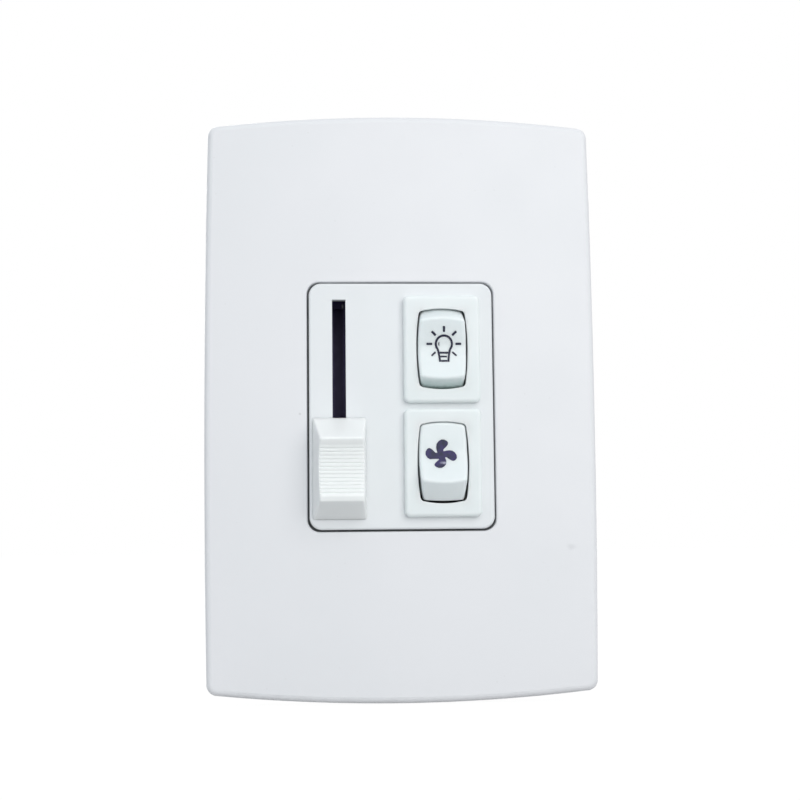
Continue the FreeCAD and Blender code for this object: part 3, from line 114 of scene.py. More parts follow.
class NodeBench:
    """Lays and wires the nodes of one shader tree.

    A Mix node has sockets of the same names for each kind of data, so its colour ones go by number.
    """

    mix_share, mix_first, mix_second, mix_result = 0, 6, 7, 2

    def __init__(self, tree: bpy.types.NodeTree) -> None:
        """Take the tree to work on."""
        self.tree = tree

    def add(self, kind: str, inputs: dict[str | int, SocketValue] | None = None,
            **settings: object) -> bpy.types.Node:
        """Add a node.

        Args:
            kind: Blender's name of the node type.
            inputs: Sockets to link or values to set, by input name or number.
            **settings: Properties of the node.

        Returns:
            The new node.
        """
        node = self.tree.nodes.new(kind)
        for name, value in settings.items():
            setattr(node, name, value)
        for key, value in (inputs or {}).items():
            if isinstance(value, Socket):
                self.tree.links.new(value, node.inputs[key])
            else:
                node.inputs[key].default_value = value
        return node

    def link(self, value: Socket, node: bpy.types.Node, name: str) -> None:
        """Link a socket to a node's input."""
        self.tree.links.new(value, node.inputs[name])

    def noise(self, vector: SocketValue, scale: SocketValue, detail: float = 3.0) -> Socket:
        """Give a noise value from 0 to 1.

        Args:
            vector: Where to read the noise.
            scale: Cells per metre.
            detail: Number of finer octaves.

        Returns:
            The noise's value socket.
        """
        node = self.add("ShaderNodeTexNoise", {"Vector": vector, "Scale": scale, "Detail": detail})
        return node.outputs[0]

    def spread(self, value: SocketValue, low: SocketValue, high: SocketValue,
               to_low: SocketValue = 0.0, to_high: SocketValue = 1.0) -> Socket:
        """Map a value smoothly from one range to another.

        Args:
            value: The value to map.
            low: Where the first range starts.
            high: Where the first range ends.
            to_low: Result at its start.
            to_high: Result at its end.

        Returns:
            The mapped value's socket.
        """
        limits = {"From Min": low, "From Max": high, "To Min": to_low, "To Max": to_high}
        node = self.add("ShaderNodeMapRange", {"Value": value, **limits}, interpolation_type="SMOOTHSTEP")
        return node.outputs[0]

    def math(self, operation: str, first: SocketValue, second: SocketValue) -> Socket:
        """Work out one operation on two values."""
        return self.add("ShaderNodeMath", {0: first, 1: second}, operation=operation).outputs[0]

    def vector(self, operation: str, first: SocketValue, second: SocketValue) -> Socket:
        """Work out one operation on two vectors."""
        return self.add("ShaderNodeVectorMath", {0: first, 1: second}, operation=operation).outputs[0]

    def blend(self, share: SocketValue, first: SocketValue, second: SocketValue) -> Socket:
        """Mix two colours.

        Args:
            share: How much of the second colour, from 0 to 1.
            first: Colour at 0.
            second: Colour at 1.

        Returns:
            The mixed colour's socket.
        """
        inputs = {self.mix_share: share, self.mix_first: first, self.mix_second: second}
        return self.add("ShaderNodeMix", inputs, data_type="RGBA").outputs[self.mix_result]

    def group(self, tree: bpy.types.NodeTree, inputs: dict[str, SocketValue]) -> bpy.types.Node:
        """Place a shader group and fill its inputs by name."""
        return self.add("ShaderNodeGroup", inputs, node_tree=tree)


def rgba(colour: Colour) -> tuple[float, float, float, float]:
    """Give a colour with full opacity."""
    return (*colour, 1.0)


class EffectGroup:
    """A shader group that several finishes share, built once."""

    name: str = ""
    sockets_in: dict[str, str] = {}
    sockets_out: dict[str, str] = {}

    @classmethod
    def tree(cls) -> bpy.types.NodeTree:
        """Find the group's tree, or make it on first use.

        Returns:
            The tree.
        """
        found = bpy.data.node_groups.get(cls.name)
        if found:
            return found
        tree = bpy.data.node_groups.new(cls.name, "ShaderNodeTree")
        for name, kind in cls.sockets_in.items():
            tree.interface.new_socket(name, in_out="INPUT", socket_type="NodeSocket" + kind)
        for name, kind in cls.sockets_out.items():
            tree.interface.new_socket(name, in_out="OUTPUT", socket_type="NodeSocket" + kind)
        bench = NodeBench(tree)
        entry = bench.add("NodeGroupInput")
        leave = bench.add("NodeGroupOutput")
        results = cls.wire(bench, {socket.name: socket for socket in entry.outputs if socket.name})
        for name, socket in results.items():
            bench.link(socket, leave, name)
        return tree

    @classmethod
    def wire(cls, bench: NodeBench, given: dict[str, Socket]) -> dict[str, Socket]:
        """Lay the group's nodes.

        Args:
            bench: The bench of the group's tree.
            given: The group's inputs by name.

        Returns:
            The sockets that feed the outputs, by name.
        """
        raise NotImplementedError


class MouldedSkin(EffectGroup):
    """Skin of an injection moulding: faint flow clouds, uneven gloss and a fine peel."""

    name = "moulded_skin"
    sockets_in = {"Vector": "Vector", "Tone": "Color", "Shade": "Color", "Cloud Scale": "Float",
                  "Peel Scale": "Float", "Gloss Low": "Float", "Gloss High": "Float"}
    sockets_out = {"Color": "Color", "Roughness": "Float", "Height": "Float"}
    cloud_detail = 4.0
    cloud_edge: Span = (0.32, 0.68)
    patches_per_cloud = 3.7
    patch_detail = 5.0
    patch_edge: Span = (0.3, 0.7)
    fine_detail = 2.0
    fine_weight = 0.4
    wide_detail = 1.0
    wide_weight = 0.6
    wide_per_fine = 0.22

    @classmethod
    def wire(cls, bench: NodeBench, given: dict[str, Socket]) -> dict[str, Socket]:
        """Lay clouds for colour, patches for gloss and two sizes of peel for height.

        Args:
            bench: The bench of the group's tree.
            given: The group's inputs by name.

        Returns:
            The colour, the roughness and the height.
        """
        place = given["Vector"]
        cloud = bench.noise(place, given["Cloud Scale"], cls.cloud_detail)
        patch_scale = bench.math("MULTIPLY", given["Cloud Scale"], cls.patches_per_cloud)
        patch = bench.noise(place, patch_scale, cls.patch_detail)
        fine = bench.noise(place, given["Peel Scale"], cls.fine_detail)
        wide_scale = bench.math("MULTIPLY", given["Peel Scale"], cls.wide_per_fine)
        wide = bench.noise(place, wide_scale, cls.wide_detail)
        fine_height = bench.math("MULTIPLY", fine, cls.fine_weight)
        wide_height = bench.math("MULTIPLY", wide, cls.wide_weight)
        return {
            "Color": bench.blend(bench.spread(cloud, *cls.cloud_edge), given["Tone"], given["Shade"]),
            "Roughness": bench.spread(patch, *cls.patch_edge, given["Gloss Low"], given["Gloss High"]),
            "Height": bench.math("ADD", fine_height, wide_height),
        }


class SoftMark(EffectGroup):
    """One soft mark on a surface, round a centre and broken up by noise."""

    name = "soft_mark"
    sockets_in = {"Vector": "Vector", "Centre": "Vector", "Stretch": "Vector", "Break Scale": "Float"}
    sockets_out = {"Mask": "Float"}
    tear = 0.7
    fade: Span = (0.35, 1.25)

    @classmethod
    def wire(cls, bench: NodeBench, given: dict[str, Socket]) -> dict[str, Socket]:
        """Measure the stretched distance from the centre and fade it out.

        Args:
            bench: The bench of the group's tree.
            given: The group's inputs by name.

        Returns:
            The mask, 1 at the heart of the mark.
        """
        offset = bench.vector("SUBTRACT", given["Vector"], given["Centre"])
        scaled = bench.vector("MULTIPLY", offset, given["Stretch"])
        length = bench.add("ShaderNodeVectorMath", {0: scaled}, operation="LENGTH").outputs["Value"]
        torn = bench.math("MULTIPLY", bench.noise(given["Vector"], given["Break Scale"]), cls.tear)
        return {"Mask": bench.spread(bench.math("ADD", length, torn), *cls.fade, 1.0, 0.0)}


class DustSpecks(EffectGroup):
    """Sparse fine specks of dust."""

    name = "dust_specks"
    sockets_in = {"Vector": "Vector", "Scale": "Float", "Size": "Float"}
    sockets_out = {"Mask": "Float"}
    region_share = 0.12
    region_edge: Span = (0.5, 0.62)

    @classmethod
    def wire(cls, bench: NodeBench, given: dict[str, Socket]) -> dict[str, Socket]:
        """Keep the heart of some cells of a cell pattern.

        Args:
            bench: The bench of the group's tree.
            given: The group's inputs by name.

        Returns:
            The mask, 1 on a speck.
        """
        cells = bench.add("ShaderNodeTexVoronoi", {"Vector": given["Vector"], "Scale": given["Scale"]})
        heart = bench.math("LESS_THAN", cells.outputs["Distance"], given["Size"])
        region_scale = bench.math("MULTIPLY", given["Scale"], cls.region_share)
        region = bench.spread(bench.noise(given["Vector"], region_scale), *cls.region_edge)
        return {"Mask": bench.math("MULTIPLY", heart, region)}


class MetalGrain(EffectGroup):
    """Drawn or rolled metal: streaks along one way and cloudy tarnish."""

    name = "metal_grain"
    sockets_in = {"Vector": "Vector", "Tone": "Color", "Tarnish": "Color", "Streak": "Vector",
                  "Cloud Scale": "Float", "Gloss Low": "Float", "Gloss High": "Float"}
    sockets_out = {"Color": "Color", "Roughness": "Float", "Height": "Float"}
    detail = 4.0
    streak_edge: Span = (0.3, 0.7)
    cloud_edge: Span = (0.42, 0.72)

    @classmethod
    def wire(cls, bench: NodeBench, given: dict[str, Socket]) -> dict[str, Socket]:
        """Lay stretched noise for the streaks and plain noise for the tarnish.

        Args:
            bench: The bench of the group's tree.
            given: The group's inputs by name.

        Returns:
            The colour, the roughness and the height.
        """
        along = bench.vector("MULTIPLY", given["Vector"], given["Streak"])
        streak = bench.noise(along, scale=1.0, detail=cls.detail)
        cloud = bench.noise(given["Vector"], given["Cloud Scale"], cls.detail)
        return {
            "Color": bench.blend(bench.spread(cloud, *cls.cloud_edge), given["Tone"], given["Tarnish"]),
            "Roughness": bench.spread(streak, *cls.streak_edge, given["Gloss Low"], given["Gloss High"]),
            "Height": streak,
        }


# Finishes

@dataclass(frozen=True)
class Relief:
    """Fine relief of a surface: its strength from 0 to 1, and its depth in millimetres."""

    strength: float
    depth: float = 0.02


@dataclass(frozen=True)
class Finish:
    """A surface finish that becomes one material."""

    name: str

    def start(self) -> tuple[bpy.types.Material, NodeBench, bpy.types.Node, Socket]:
        """Start a material.

        Returns:
            The material, its bench, its shader node and the object coordinates.
        """
        material = bpy.data.materials.new(self.name)
        material.use_nodes = True
        bench = NodeBench(material.node_tree)
        shader = material.node_tree.nodes["Principled BSDF"]
        place = bench.add("ShaderNodeTexCoord").outputs["Object"]
        return material, bench, shader, place

    @staticmethod
    def surface(bench: NodeBench, shader: bpy.types.Node, colour: Socket, effect: bpy.types.Node,
                relief: Relief) -> None:
        """Wire a colour and an effect's gloss and height into the shader.

        Args:
            bench: The material's bench.
            shader: The shader node.
            colour: The finished colour.
            effect: The group that gives Roughness and Height.
            relief: How strongly and how deep the height shows.
        """
        bump = bench.add("ShaderNodeBump", {"Strength": relief.strength, "Distance": relief.depth * MM,
                                            "Height": effect.outputs["Height"]})
        bench.link(colour, shader, "Base Color")
        bench.link(effect.outputs["Roughness"], shader, "Roughness")
        bench.link(bump.outputs[0], shader, "Normal")

    def make(self) -> bpy.types.Material:
        """Build the material."""
        raise NotImplementedError


@dataclass(frozen=True)
class Mark:
    """A soft patch of colour on a surface, in millimetres: a smudge, speck or rub, or a painted shade or
    highlight.
    """

    centre: Spot
    size: Spot
    colour: Colour
    strength: float
    break_scale: float = 900.0

    def lay(self, bench: NodeBench, place: Socket, colour: Socket) -> Socket:
        """Lay the mark over a colour.

        Args:
            bench: The material's bench.
            place: The object coordinates.
            colour: The colour under the mark.

        Returns:
            The marked colour's socket.
        """
        spot = bench.group(SoftMark.tree(), {
            "Vector": place, "Centre": tuple(part * MM for part in self.centre),
            "Stretch": tuple(1.0 / (part * MM) for part in self.size), "Break Scale": self.break_scale})
        share = bench.math("MULTIPLY", spot.outputs["Mask"], self.strength)
        return bench.blend(share, colour, rgba(self.colour))


@dataclass(frozen=True)
class Skinned(Finish):
    """A finish of two tones under a moulded skin."""

    tone: Colour
    shade: Colour
    gloss: Span = (0.34, 0.44)
    cloud: float = 60.0
    peel: float = 2600.0
    relief: Relief = Relief(0.12)

    def skin(self, bench: NodeBench, place: Socket) -> bpy.types.Node:
        """Place the skin's group.

        Args:
            bench: The material's bench.
            place: The object coordinates.

        Returns:
            The group's node.
        """
        return bench.group(MouldedSkin.tree(), {
            "Vector": place, "Tone": rgba(self.tone), "Shade": rgba(self.shade), "Cloud Scale": self.cloud,
            "Peel Scale": self.peel, "Gloss Low": self.gloss[0], "Gloss High": self.gloss[1]})


@dataclass(frozen=True, kw_only=True)
class Moulded(Skinned):
    """Moulded plastic with a fine skin, and the dust and marks that are on it, some marks being painted
    shade or highlights.
    """

    ior: float = 1.47
    coat: float = 0.0
    coat_roughness: float = 0.12
    scatter: float = 0.0
    dust: float = 0.0
    dust_scale: float = 420.0
    dust_size: float = 0.07
    dust_colour: Colour = (0.42, 0.41, 0.38)
    marks: tuple[Mark, ...] = ()

    def make(self) -> bpy.types.Material:
        """Build the plastic, then lay dust and marks, painted shade and highlights among them, over its
        colour.

        Returns:
            The material.
        """
        material, bench, shader, place = self.start()
        skin = self.skin(bench, place)
        colour = skin.outputs["Color"]
        if self.dust:
            specks = bench.group(DustSpecks.tree(), {"Vector": place, "Scale": self.dust_scale,
                                                     "Size": self.dust_size})
            share = bench.math("MULTIPLY", specks.outputs["Mask"], self.dust)
            colour = bench.blend(share, colour, rgba(self.dust_colour))
        for mark in self.marks:
            colour = mark.lay(bench, place, colour)
        self.surface(bench, shader, colour, skin, self.relief)
        shader.inputs["IOR"].default_value = self.ior
        shader.inputs["Coat Weight"].default_value = self.coat
        shader.inputs["Coat Roughness"].default_value = self.coat_roughness
        if self.scatter:
            shader.inputs["Subsurface Weight"].default_value = 1.0
            shader.inputs["Subsurface Radius"].default_value = EVEN_REACH
            shader.inputs["Subsurface Scale"].default_value = self.scatter * MM
        return material


@dataclass(frozen=True)
class Metal(Finish):
    """Bare or plated metal."""

    tone: Colour
    tarnish: Colour
    gloss: Span = (0.25, 0.42)
    streak: Spot = (300.0, 4000.0, 4000.0)
    cloud: float = 500.0
    relief: Relief = Relief(0.15, 0.01)

    def make(self) -> bpy.types.Material:
        """Build the metal.

        Returns:
            The material.
        """
        material, bench, shader, place = self.start()
        grain = bench.group(MetalGrain.tree(), {
            "Vector": place, "Tone": rgba(self.tone), "Tarnish": rgba(self.tarnish), "Streak": self.streak,
            "Cloud Scale": self.cloud, "Gloss Low": self.gloss[0], "Gloss High": self.gloss[1]})
        self.surface(bench, shader, grain.outputs["Color"], grain, self.relief)
        shader.inputs["Metallic"].default_value = 1.0
        return material


@dataclass(frozen=True)
class Band:
    """A painted ring on a body, in millimetres along the body's axis."""

    middle: float
    width: float
    paint: Colour


@dataclass(frozen=True, kw_only=True)
class Zoned(Skinned):
    """A coated body with bare metal beyond it along one axis, and painted bands on it."""

    axis: Axis
    span: Span
    bands: tuple[Band, ...] = ()
    metal: Colour = (0.62, 0.61, 0.58)
    gloss: Span = (0.3, 0.45)
    cloud: float = 400.0
    peel: float = 4000.0
    relief: Relief = Relief(0.2)

    def make(self) -> bpy.types.Material:
        """Build the body, its bands and the bare ends.

        Returns:
            The material.
        """
        material, bench, shader, place = self.start()
        skin = self.skin(bench, place)
        along = bench.add("ShaderNodeSeparateXYZ", {0: place}).outputs[self.axis.value]
        colour = skin.outputs["Color"]
        for band in self.bands:
            half = band.width / 2
            share = self.within(bench, along, band.middle - half, band.middle + half)
            colour = bench.blend(share, colour, rgba(band.paint))
        body = self.within(bench, along, *self.span)
        colour = bench.blend(body, rgba(self.metal), colour)
        self.surface(bench, shader, colour, skin, self.relief)
        bench.link(bench.math("SUBTRACT", 1.0, body), shader, "Metallic")
        return material

    @staticmethod
    def within(bench: NodeBench, value: Socket, low: float, high: float) -> Socket:
        """Give 1 where a place lies between two millimetre values, else 0.

        Args:
            bench: The material's bench.
            value: The place in metres.
            low: Lower end.
            high: Upper end.

        Returns:
            The mask's socket.
        """
        above = bench.math("GREATER_THAN", value, low * MM)
        below = bench.math("LESS_THAN", value, high * MM)
        return bench.math("MULTIPLY", above, below)


@dataclass(frozen=True, kw_only=True)
class Laminate(Skinned):
    """Paper laminate of a circuit board through which its tracks show faintly."""

    track: Colour
    track_strength: float = 0.75
    track_width: float = 0.35
    track_length: float = 8.2
    track_pitch: float = 3.4
    gloss: Span = (0.42, 0.6)
    cloud: float = 260.0
    peel: float = 5200.0
    relief: Relief = Relief(0.25, 0.03)

    def make(self) -> bpy.types.Material:
        """Build the fibres and the tracks that show through.

        Returns:
            The material.
        """
        material, bench, shader, place = self.start()
        skin = self.skin(bench, place)
        turned = bench.add("ShaderNodeMapping", {"Vector": place, "Rotation": (math.pi / 2, 0.0, 0.0)})
        tiles = bench.add("ShaderNodeTexBrick", {
            "Vector": turned.outputs[0], "Scale": 1.0, "Mortar Size": self.track_width * MM,
            "Brick Width": self.track_length * MM, "Row Height": self.track_pitch * MM})
        share = bench.math("MULTIPLY", tiles.outputs["Fac"], self.track_strength)
        colour = bench.blend(share, skin.outputs["Color"], rgba(self.track))
        self.surface(bench, shader, colour, skin, self.relief)
        return material


@dataclass(frozen=True, kw_only=True)
class PrintInk(Skinned):
    """Pad-printed ink with a thin, slightly patchy film."""

    shine: float = 0.15
    marks: tuple[Mark, ...] = ()
    gloss: Span = (0.4, 0.6)
    cloud: float = 2600.0
    peel: float = 9000.0
    relief: Relief = Relief(0.1, 0.005)

    def make(self) -> bpy.types.Material:
        """Build the ink film and the places where it is worn.

        Returns:
            The material.
        """
        material, bench, shader, place = self.start()
        skin = self.skin(bench, place)
        colour = skin.outputs["Color"]
        for mark in self.marks:
            colour = mark.lay(bench, place, colour)
        self.surface(bench, shader, colour, skin, self.relief)
        shader.inputs["Specular IOR Level"].default_value = self.shine
        return material


class FinishBook:
    """Keeps the finishes and makes each material once."""

    def __init__(self, finishes: dict[Slot, Finish]) -> None:
        """Take the finish of each slot."""
        self.finishes = finishes
        self.made: dict[str, bpy.types.Material] = {}

    def material(self, finish: Finish | Slot) -> bpy.types.Material:
        """Find the material of a finish, or make it on first use.

        Args:
            finish: The finish, or the slot whose finish is wanted.

        Returns:
            The material.
        """
        wanted = self.finishes[finish] if isinstance(finish, Slot) else finish
        if wanted.name not in self.made:
            self.made[wanted.name] = wanted.make()
        return self.made[wanted.name]

    def dress(self, item: bpy.types.Object, finish: Finish | Slot) -> None:
        """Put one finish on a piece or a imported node.

        Args:
            item: The object to dress.
            finish: The finish, or the slot whose finish it takes.
        """
        item.data.materials.clear()
        item.data.materials.append(self.material(finish))
        LOG.info("dressed %s in %s", item.name, item.data.materials[0].name)


# Mesh work

def new_piece(bm: bmesh.types.BMesh, name: str, smooth: bool = True) -> bpy.types.Object:
    """Make a piece of a finished bmesh, with its place in its mesh.

    Args:
        bm: The mesh, in metres in the frame of the whole object.
        name: The piece's name.
        smooth: Whether its faces are shaded smooth.

    Returns:
        The new object, at the origin.
    """
    mesh = bpy.data.meshes.new(name)
    bm.to_mesh(mesh)
    bm.free()
    for polygon in mesh.polygons:
        polygon.use_smooth = smooth
    item = bpy.data.objects.new(name, mesh)
    bpy.context.scene.collection.objects.link(item)
    return item


def ladder(bm: bmesh.types.BMesh, rungs: list[tuple[Point, Point]]) -> None:
    """Draw a flat band in the XZ plane over a row of rungs.

    The band starts as one edge, the first rung, which is extruded from rung to rung.

    Args:
        bm: The mesh to draw in, in millimetres.
        rungs: Left and right end of each rung.
    """
    ends = [bm.verts.new((x, 0.0, z)) for x, z in rungs[0]]
    edge = bm.edges.new(ends)
    for rung in rungs[1:]:
        grown = bmesh.ops.extrude_edge_only(bm, edges=[edge])["geom"]
        edge = next(item for item in grown if isinstance(item, bmesh.types.BMEdge))
        beside = (item.other_vert(ends[0]) for item in ends[0].link_edges)
        left = next(vert for vert in beside if vert in edge.verts)
        ends = [left, edge.other_vert(left)]
        for vert, (x, z) in zip(ends, rung):
            vert.co = (x, 0.0, z)


def coil(bm: bmesh.types.BMesh, radius: float, wire: float, span: Span, turns: float,
         sides: int = 8, steps: int = 20) -> None:
    """Wind a wire round the Y axis.

    Args:
        bm: The mesh to wind in, in millimetres.
        radius: From the axis to the wire's middle.
        wire: The wire's thickness.
        span: Where the winding starts and ends along Y.
        turns: Number of turns.
        sides: Sides of the wire's section.
        steps: Steps in one turn.
    """
    low, high = span
    ring = bmesh.ops.create_circle(bm, segments=sides, radius=wire / 2)["verts"]
    bmesh.ops.translate(bm, verts=ring, vec=(radius, low + wire / 2, 0.0))
    count = max(1, round(turns * steps))
    rise = (high - low - wire) / count
    rim = list({edge for vert in ring for edge in vert.link_edges})
    wound = bmesh.ops.spin(bm, geom=ring + rim, cent=(0.0, 0.0, 0.0), axis=(0.0, 1.0, 0.0),
                           dvec=(0.0, rise, 0.0), angle=math.tau * turns, steps=count)
    bmesh.ops.contextual_create(bm, geom=rim)
    last = [item for item in wound["geom_last"] if isinstance(item, bmesh.types.BMEdge)]
    bmesh.ops.contextual_create(bm, geom=last)
    bmesh.ops.recalc_face_normals(bm, faces=bm.faces)


@dataclass(frozen=True)
class Line:
    """A drawn line in the XZ plane: the points of its middle and its width at each, in millimetres."""

    path: tuple[Point, ...]
    widths: tuple[float, ...]

    def draw(self, bm: bmesh.types.BMesh) -> None:
        """Draw the line as a flat band.

        Args:
            bm: The mesh to draw in, in millimetres.
        """
        points = [Vector(point) for point in self.path]
        rungs = []
        for number, (point, width) in enumerate(zip(points, self.widths)):
            ahead = points[min(number + 1, len(points) - 1)]
            behind = points[max(number - 1, 0)]
            way = (ahead - behind).normalized()
            across = Vector((-way.y, way.x)) * (width / 2)
            rungs.append((tuple(point + across), tuple(point - across)))
        ladder(bm, rungs)


# Sub-assemblies

@dataclass
class PackedPiece:
    """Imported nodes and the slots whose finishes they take."""

    slots: dict[str, Slot]

    def dress(self, book: FinishBook) -> None:
        """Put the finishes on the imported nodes."""
        for node, slot in self.slots.items():
            book.dress(frame["nodes"][node], slot)


@dataclass
class CoverPlate(PackedPiece):
    """The bowed cover plate and the frame behind it."""

    slots: dict[str, Slot] = field(default_factory=lambda: {
        "wall_plate": Slot.PLATE, "support_frame": Slot.FRAME})


@dataclass
class ModulePanel(PackedPiece):
    """The front of the module and the rear housing that closes it."""

    slots: dict[str, Slot] = field(default_factory=lambda: {
        "module_face": Slot.PANEL, "rear_housing": Slot.HOUSING, "housing_screws": Slot.STEEL,
        "terminal_block": Slot.BLOCK, "terminal_screws": Slot.STEEL})


@dataclass
class SlideControl(PackedPiece):
    """The slide control with its knob."""

    slots: dict[str, Slot] = field(default_factory=lambda: {
        "slide_case": Slot.BLACK_SHEET, "slide_track": Slot.TRACK, "slide_lever": Slot.LEVER,
        "slide_wiper": Slot.COPPER, "slide_knob": Slot.KNOB})


@dataclass
class Symbol:
    """A printed symbol that lies on a rocker's hollow top."""

    name: str
    carrier: str
    ink: PrintInk
    middle: Point
    lift: float = 0.012
    film: float = 0.01
    merge: float = 0.004
    cuts: int = 2
    drop_from: float = -100.0

    def draw(self, bm: bmesh.types.BMesh) -> None:
        """Draw the flat symbol round its middle, in millimetres."""
        raise NotImplementedError

    def build(self, book: FinishBook) -> bpy.types.Object:
        """Draw the symbol, lay it on the rocker and give it the thickness of ink.

        Args:
            book: The finishes.

        Returns:
            The finished piece, riding with its rocker.
        """
        bm = bmesh.new()
        self.draw(bm)
        bmesh.ops.remove_doubles(bm, verts=bm.verts, dist=self.merge)
        bmesh.ops.subdivide_edges(bm, edges=bm.edges, cuts=self.cuts, use_grid_fill=True)
        bmesh.ops.translate(bm, verts=bm.verts, vec=(self.middle[0], 0.0, self.middle[1]))
        bmesh.ops.scale(bm, vec=(MM, MM, MM), verts=bm.verts)
        self.lay(bm)
        bmesh.ops.recalc_face_normals(bm, faces=bm.faces)
        for face in bm.faces:
            if face.normal.y > 0.0:
                face.normal_flip()
        bmesh.ops.solidify(bm, geom=bm.faces, thickness=self.film * MM)
        bmesh.ops.recalc_face_normals(bm, faces=bm.faces)
        item = new_piece(bm, self.name, smooth=False)
        book.dress(item, self.ink)
        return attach(item, self.carrier)

    def lay(self, bm: bmesh.types.BMesh) -> None:
        """Drop every point along Y onto the carrier and lift it by the film's gap.

        Args:
            bm: The symbol's mesh, in metres.
        """
        carrier = frame["nodes"][self.carrier].data
        tree = BVHTree.FromPolygons([v.co for v in carrier.vertices], [p.vertices for p in carrier.polygons])
        for vert in bm.verts:
            start = Vector((vert.co.x, self.drop_from * MM, vert.co.z))
            hit = tree.ray_cast(start, Vector((0.0, 1.0, 0.0)))[0]
            vert.co.y = hit.y - self.lift * MM


@dataclass
class BulbSymbol(Symbol):
    """A line drawing of a lit bulb."""

    line: float = 0.44
    globe: float = 1.64
    globe_sweep: float = 262.0
    globe_steps: int = 48
    neck: Line = Line(((1.1, -1.72), (0.96, -2.5), (0.84, -3.7)), (0.42, 0.4, 0.4))
    cap: tuple[Line, ...] = (
        Line(((-0.86, -1.8), (0.86, -1.8)), (0.4, 0.4)),
        Line(((-0.74, -2.6), (0.6, -2.6)), (0.38, 0.3)),
        Line(((-0.64, -3.51), (0.64, -3.51)), (0.38, 0.38)))
    glint: Line = Line(((-0.96, 0.42), (-1.05, 0.05), (-0.98, -0.42)), (0.08, 0.24, 0.08))
    ray_span: Span = (2.36, 3.52)
    ray_width: float = 0.46
    ray_turns: tuple[float, ...] = (0.0, 45.0, 90.0, 135.0, 180.0)
    low_ray_turns: tuple[float, ...] = (224.0, 316.0)
    low_ray_share: float = 0.8
    tip_length: float = 0.08
    tip_share: float = 0.7

    def draw(self, bm: bmesh.types.BMesh) -> None:
        """Draw globe, neck, cap, glint and rays.

        Args:
            bm: The mesh to draw in, in millimetres.
        """
        first = math.radians((FULL_TURN / 2 - self.globe_sweep) / 2)
        way = Vector((math.cos(first), 0.0, math.sin(first)))
        inner = bm.verts.new(way * (self.globe - self.line / 2))
        outer = bm.verts.new(way * (self.globe + self.line / 2))
        rim = bm.edges.new((inner, outer))
        bmesh.ops.spin(bm, geom=[inner, outer, rim], cent=(0.0, 0.0, 0.0), axis=(0.0, -1.0, 0.0),
                       angle=math.radians(self.globe_sweep), steps=self.globe_steps)
        shoulder = (self.globe * way.x, self.globe * way.z)
        for side in (1.0, -1.0):
            path = tuple((side * x, z) for x, z in (shoulder, *self.neck.path))
            Line(path, (self.line, *self.neck.widths)).draw(bm)
        for line in (*self.cap, self.glint):
            line.draw(bm)
        for degrees in self.ray_turns:
            self.ray(degrees, self.ray_width).draw(bm)
        for degrees in self.low_ray_turns:
            self.ray(degrees, self.ray_width * self.low_ray_share).draw(bm)

    def ray(self, degrees: float, width: float) -> Line:
        """Shape one ray with narrowed tips.

        Args:
            degrees: The ray's angle from the X axis.
            width: Its width.

        Returns:
            The ray's line.
        """
        turn = math.radians(degrees)
        start, end = self.ray_span
        reaches = (start, start + self.tip_length, end - self.tip_length, end)
        tip = width * self.tip_share
        return Line(tuple((math.cos(turn) * reach, math.sin(turn) * reach) for reach in reaches),
                    (tip, width, width, tip))


@dataclass
class FanSymbol(Symbol):
    """A filled propeller with round, hooked blades."""

    blades: int = 4
    hub_reach: float = 0.92
    hub_turn: float = 11.0
    blade: tuple[tuple[Point, Point], ...] = (
        ((-0.93, 1.2), (0.44, 1.08)), ((-0.97, 1.75), (0.72, 1.38)), ((-0.86, 2.3), (1.03, 1.66)),
        ((-0.5, 2.8), (1.27, 1.96)), ((0.05, 3.14), (1.42, 2.26)), ((0.62, 3.14), (1.42, 2.53)),
        ((1.02, 2.96), (1.28, 2.76)))
    slope_share: float = 0.84

    def corner(self, degrees: float) -> Point:
        """Give the corner of the hub at an angle."""
        turn = math.radians(degrees + self.hub_turn)
        return (self.hub_reach * math.cos(turn), self.hub_reach * math.sin(turn))

    def draw(self, bm: bmesh.types.BMesh) -> None:
        """Draw one blade, turn it round the hub, fill the hub and shorten what lies on the slope.

        Args:
            bm: The mesh to draw in, in millimetres.
        """
        step = FULL_TURN / self.blades
        ladder(bm, [(self.corner(1.5 * step), self.corner(0.5 * step)), *self.blade])
        blade = list(bm.verts) + list(bm.edges) + list(bm.faces)
        bmesh.ops.spin(bm, geom=blade, cent=(0.0, 0.0, 0.0), axis=(0.0, 1.0, 0.0),
                       angle=math.radians(FULL_TURN - step), steps=self.blades - 1, use_duplicate=True)
        bmesh.ops.remove_doubles(bm, verts=bm.verts, dist=self.merge)
        inner = [edge for edge in bm.edges
                 if all(vert.co.length < self.hub_reach + self.merge for vert in edge.verts)]
        bmesh.ops.contextual_create(bm, geom=inner)
        below = [vert for vert in bm.verts if vert.co.z < -self.hub_reach]
        bmesh.ops.scale(bm, vec=(1.0, 1.0, self.slope_share), verts=below)


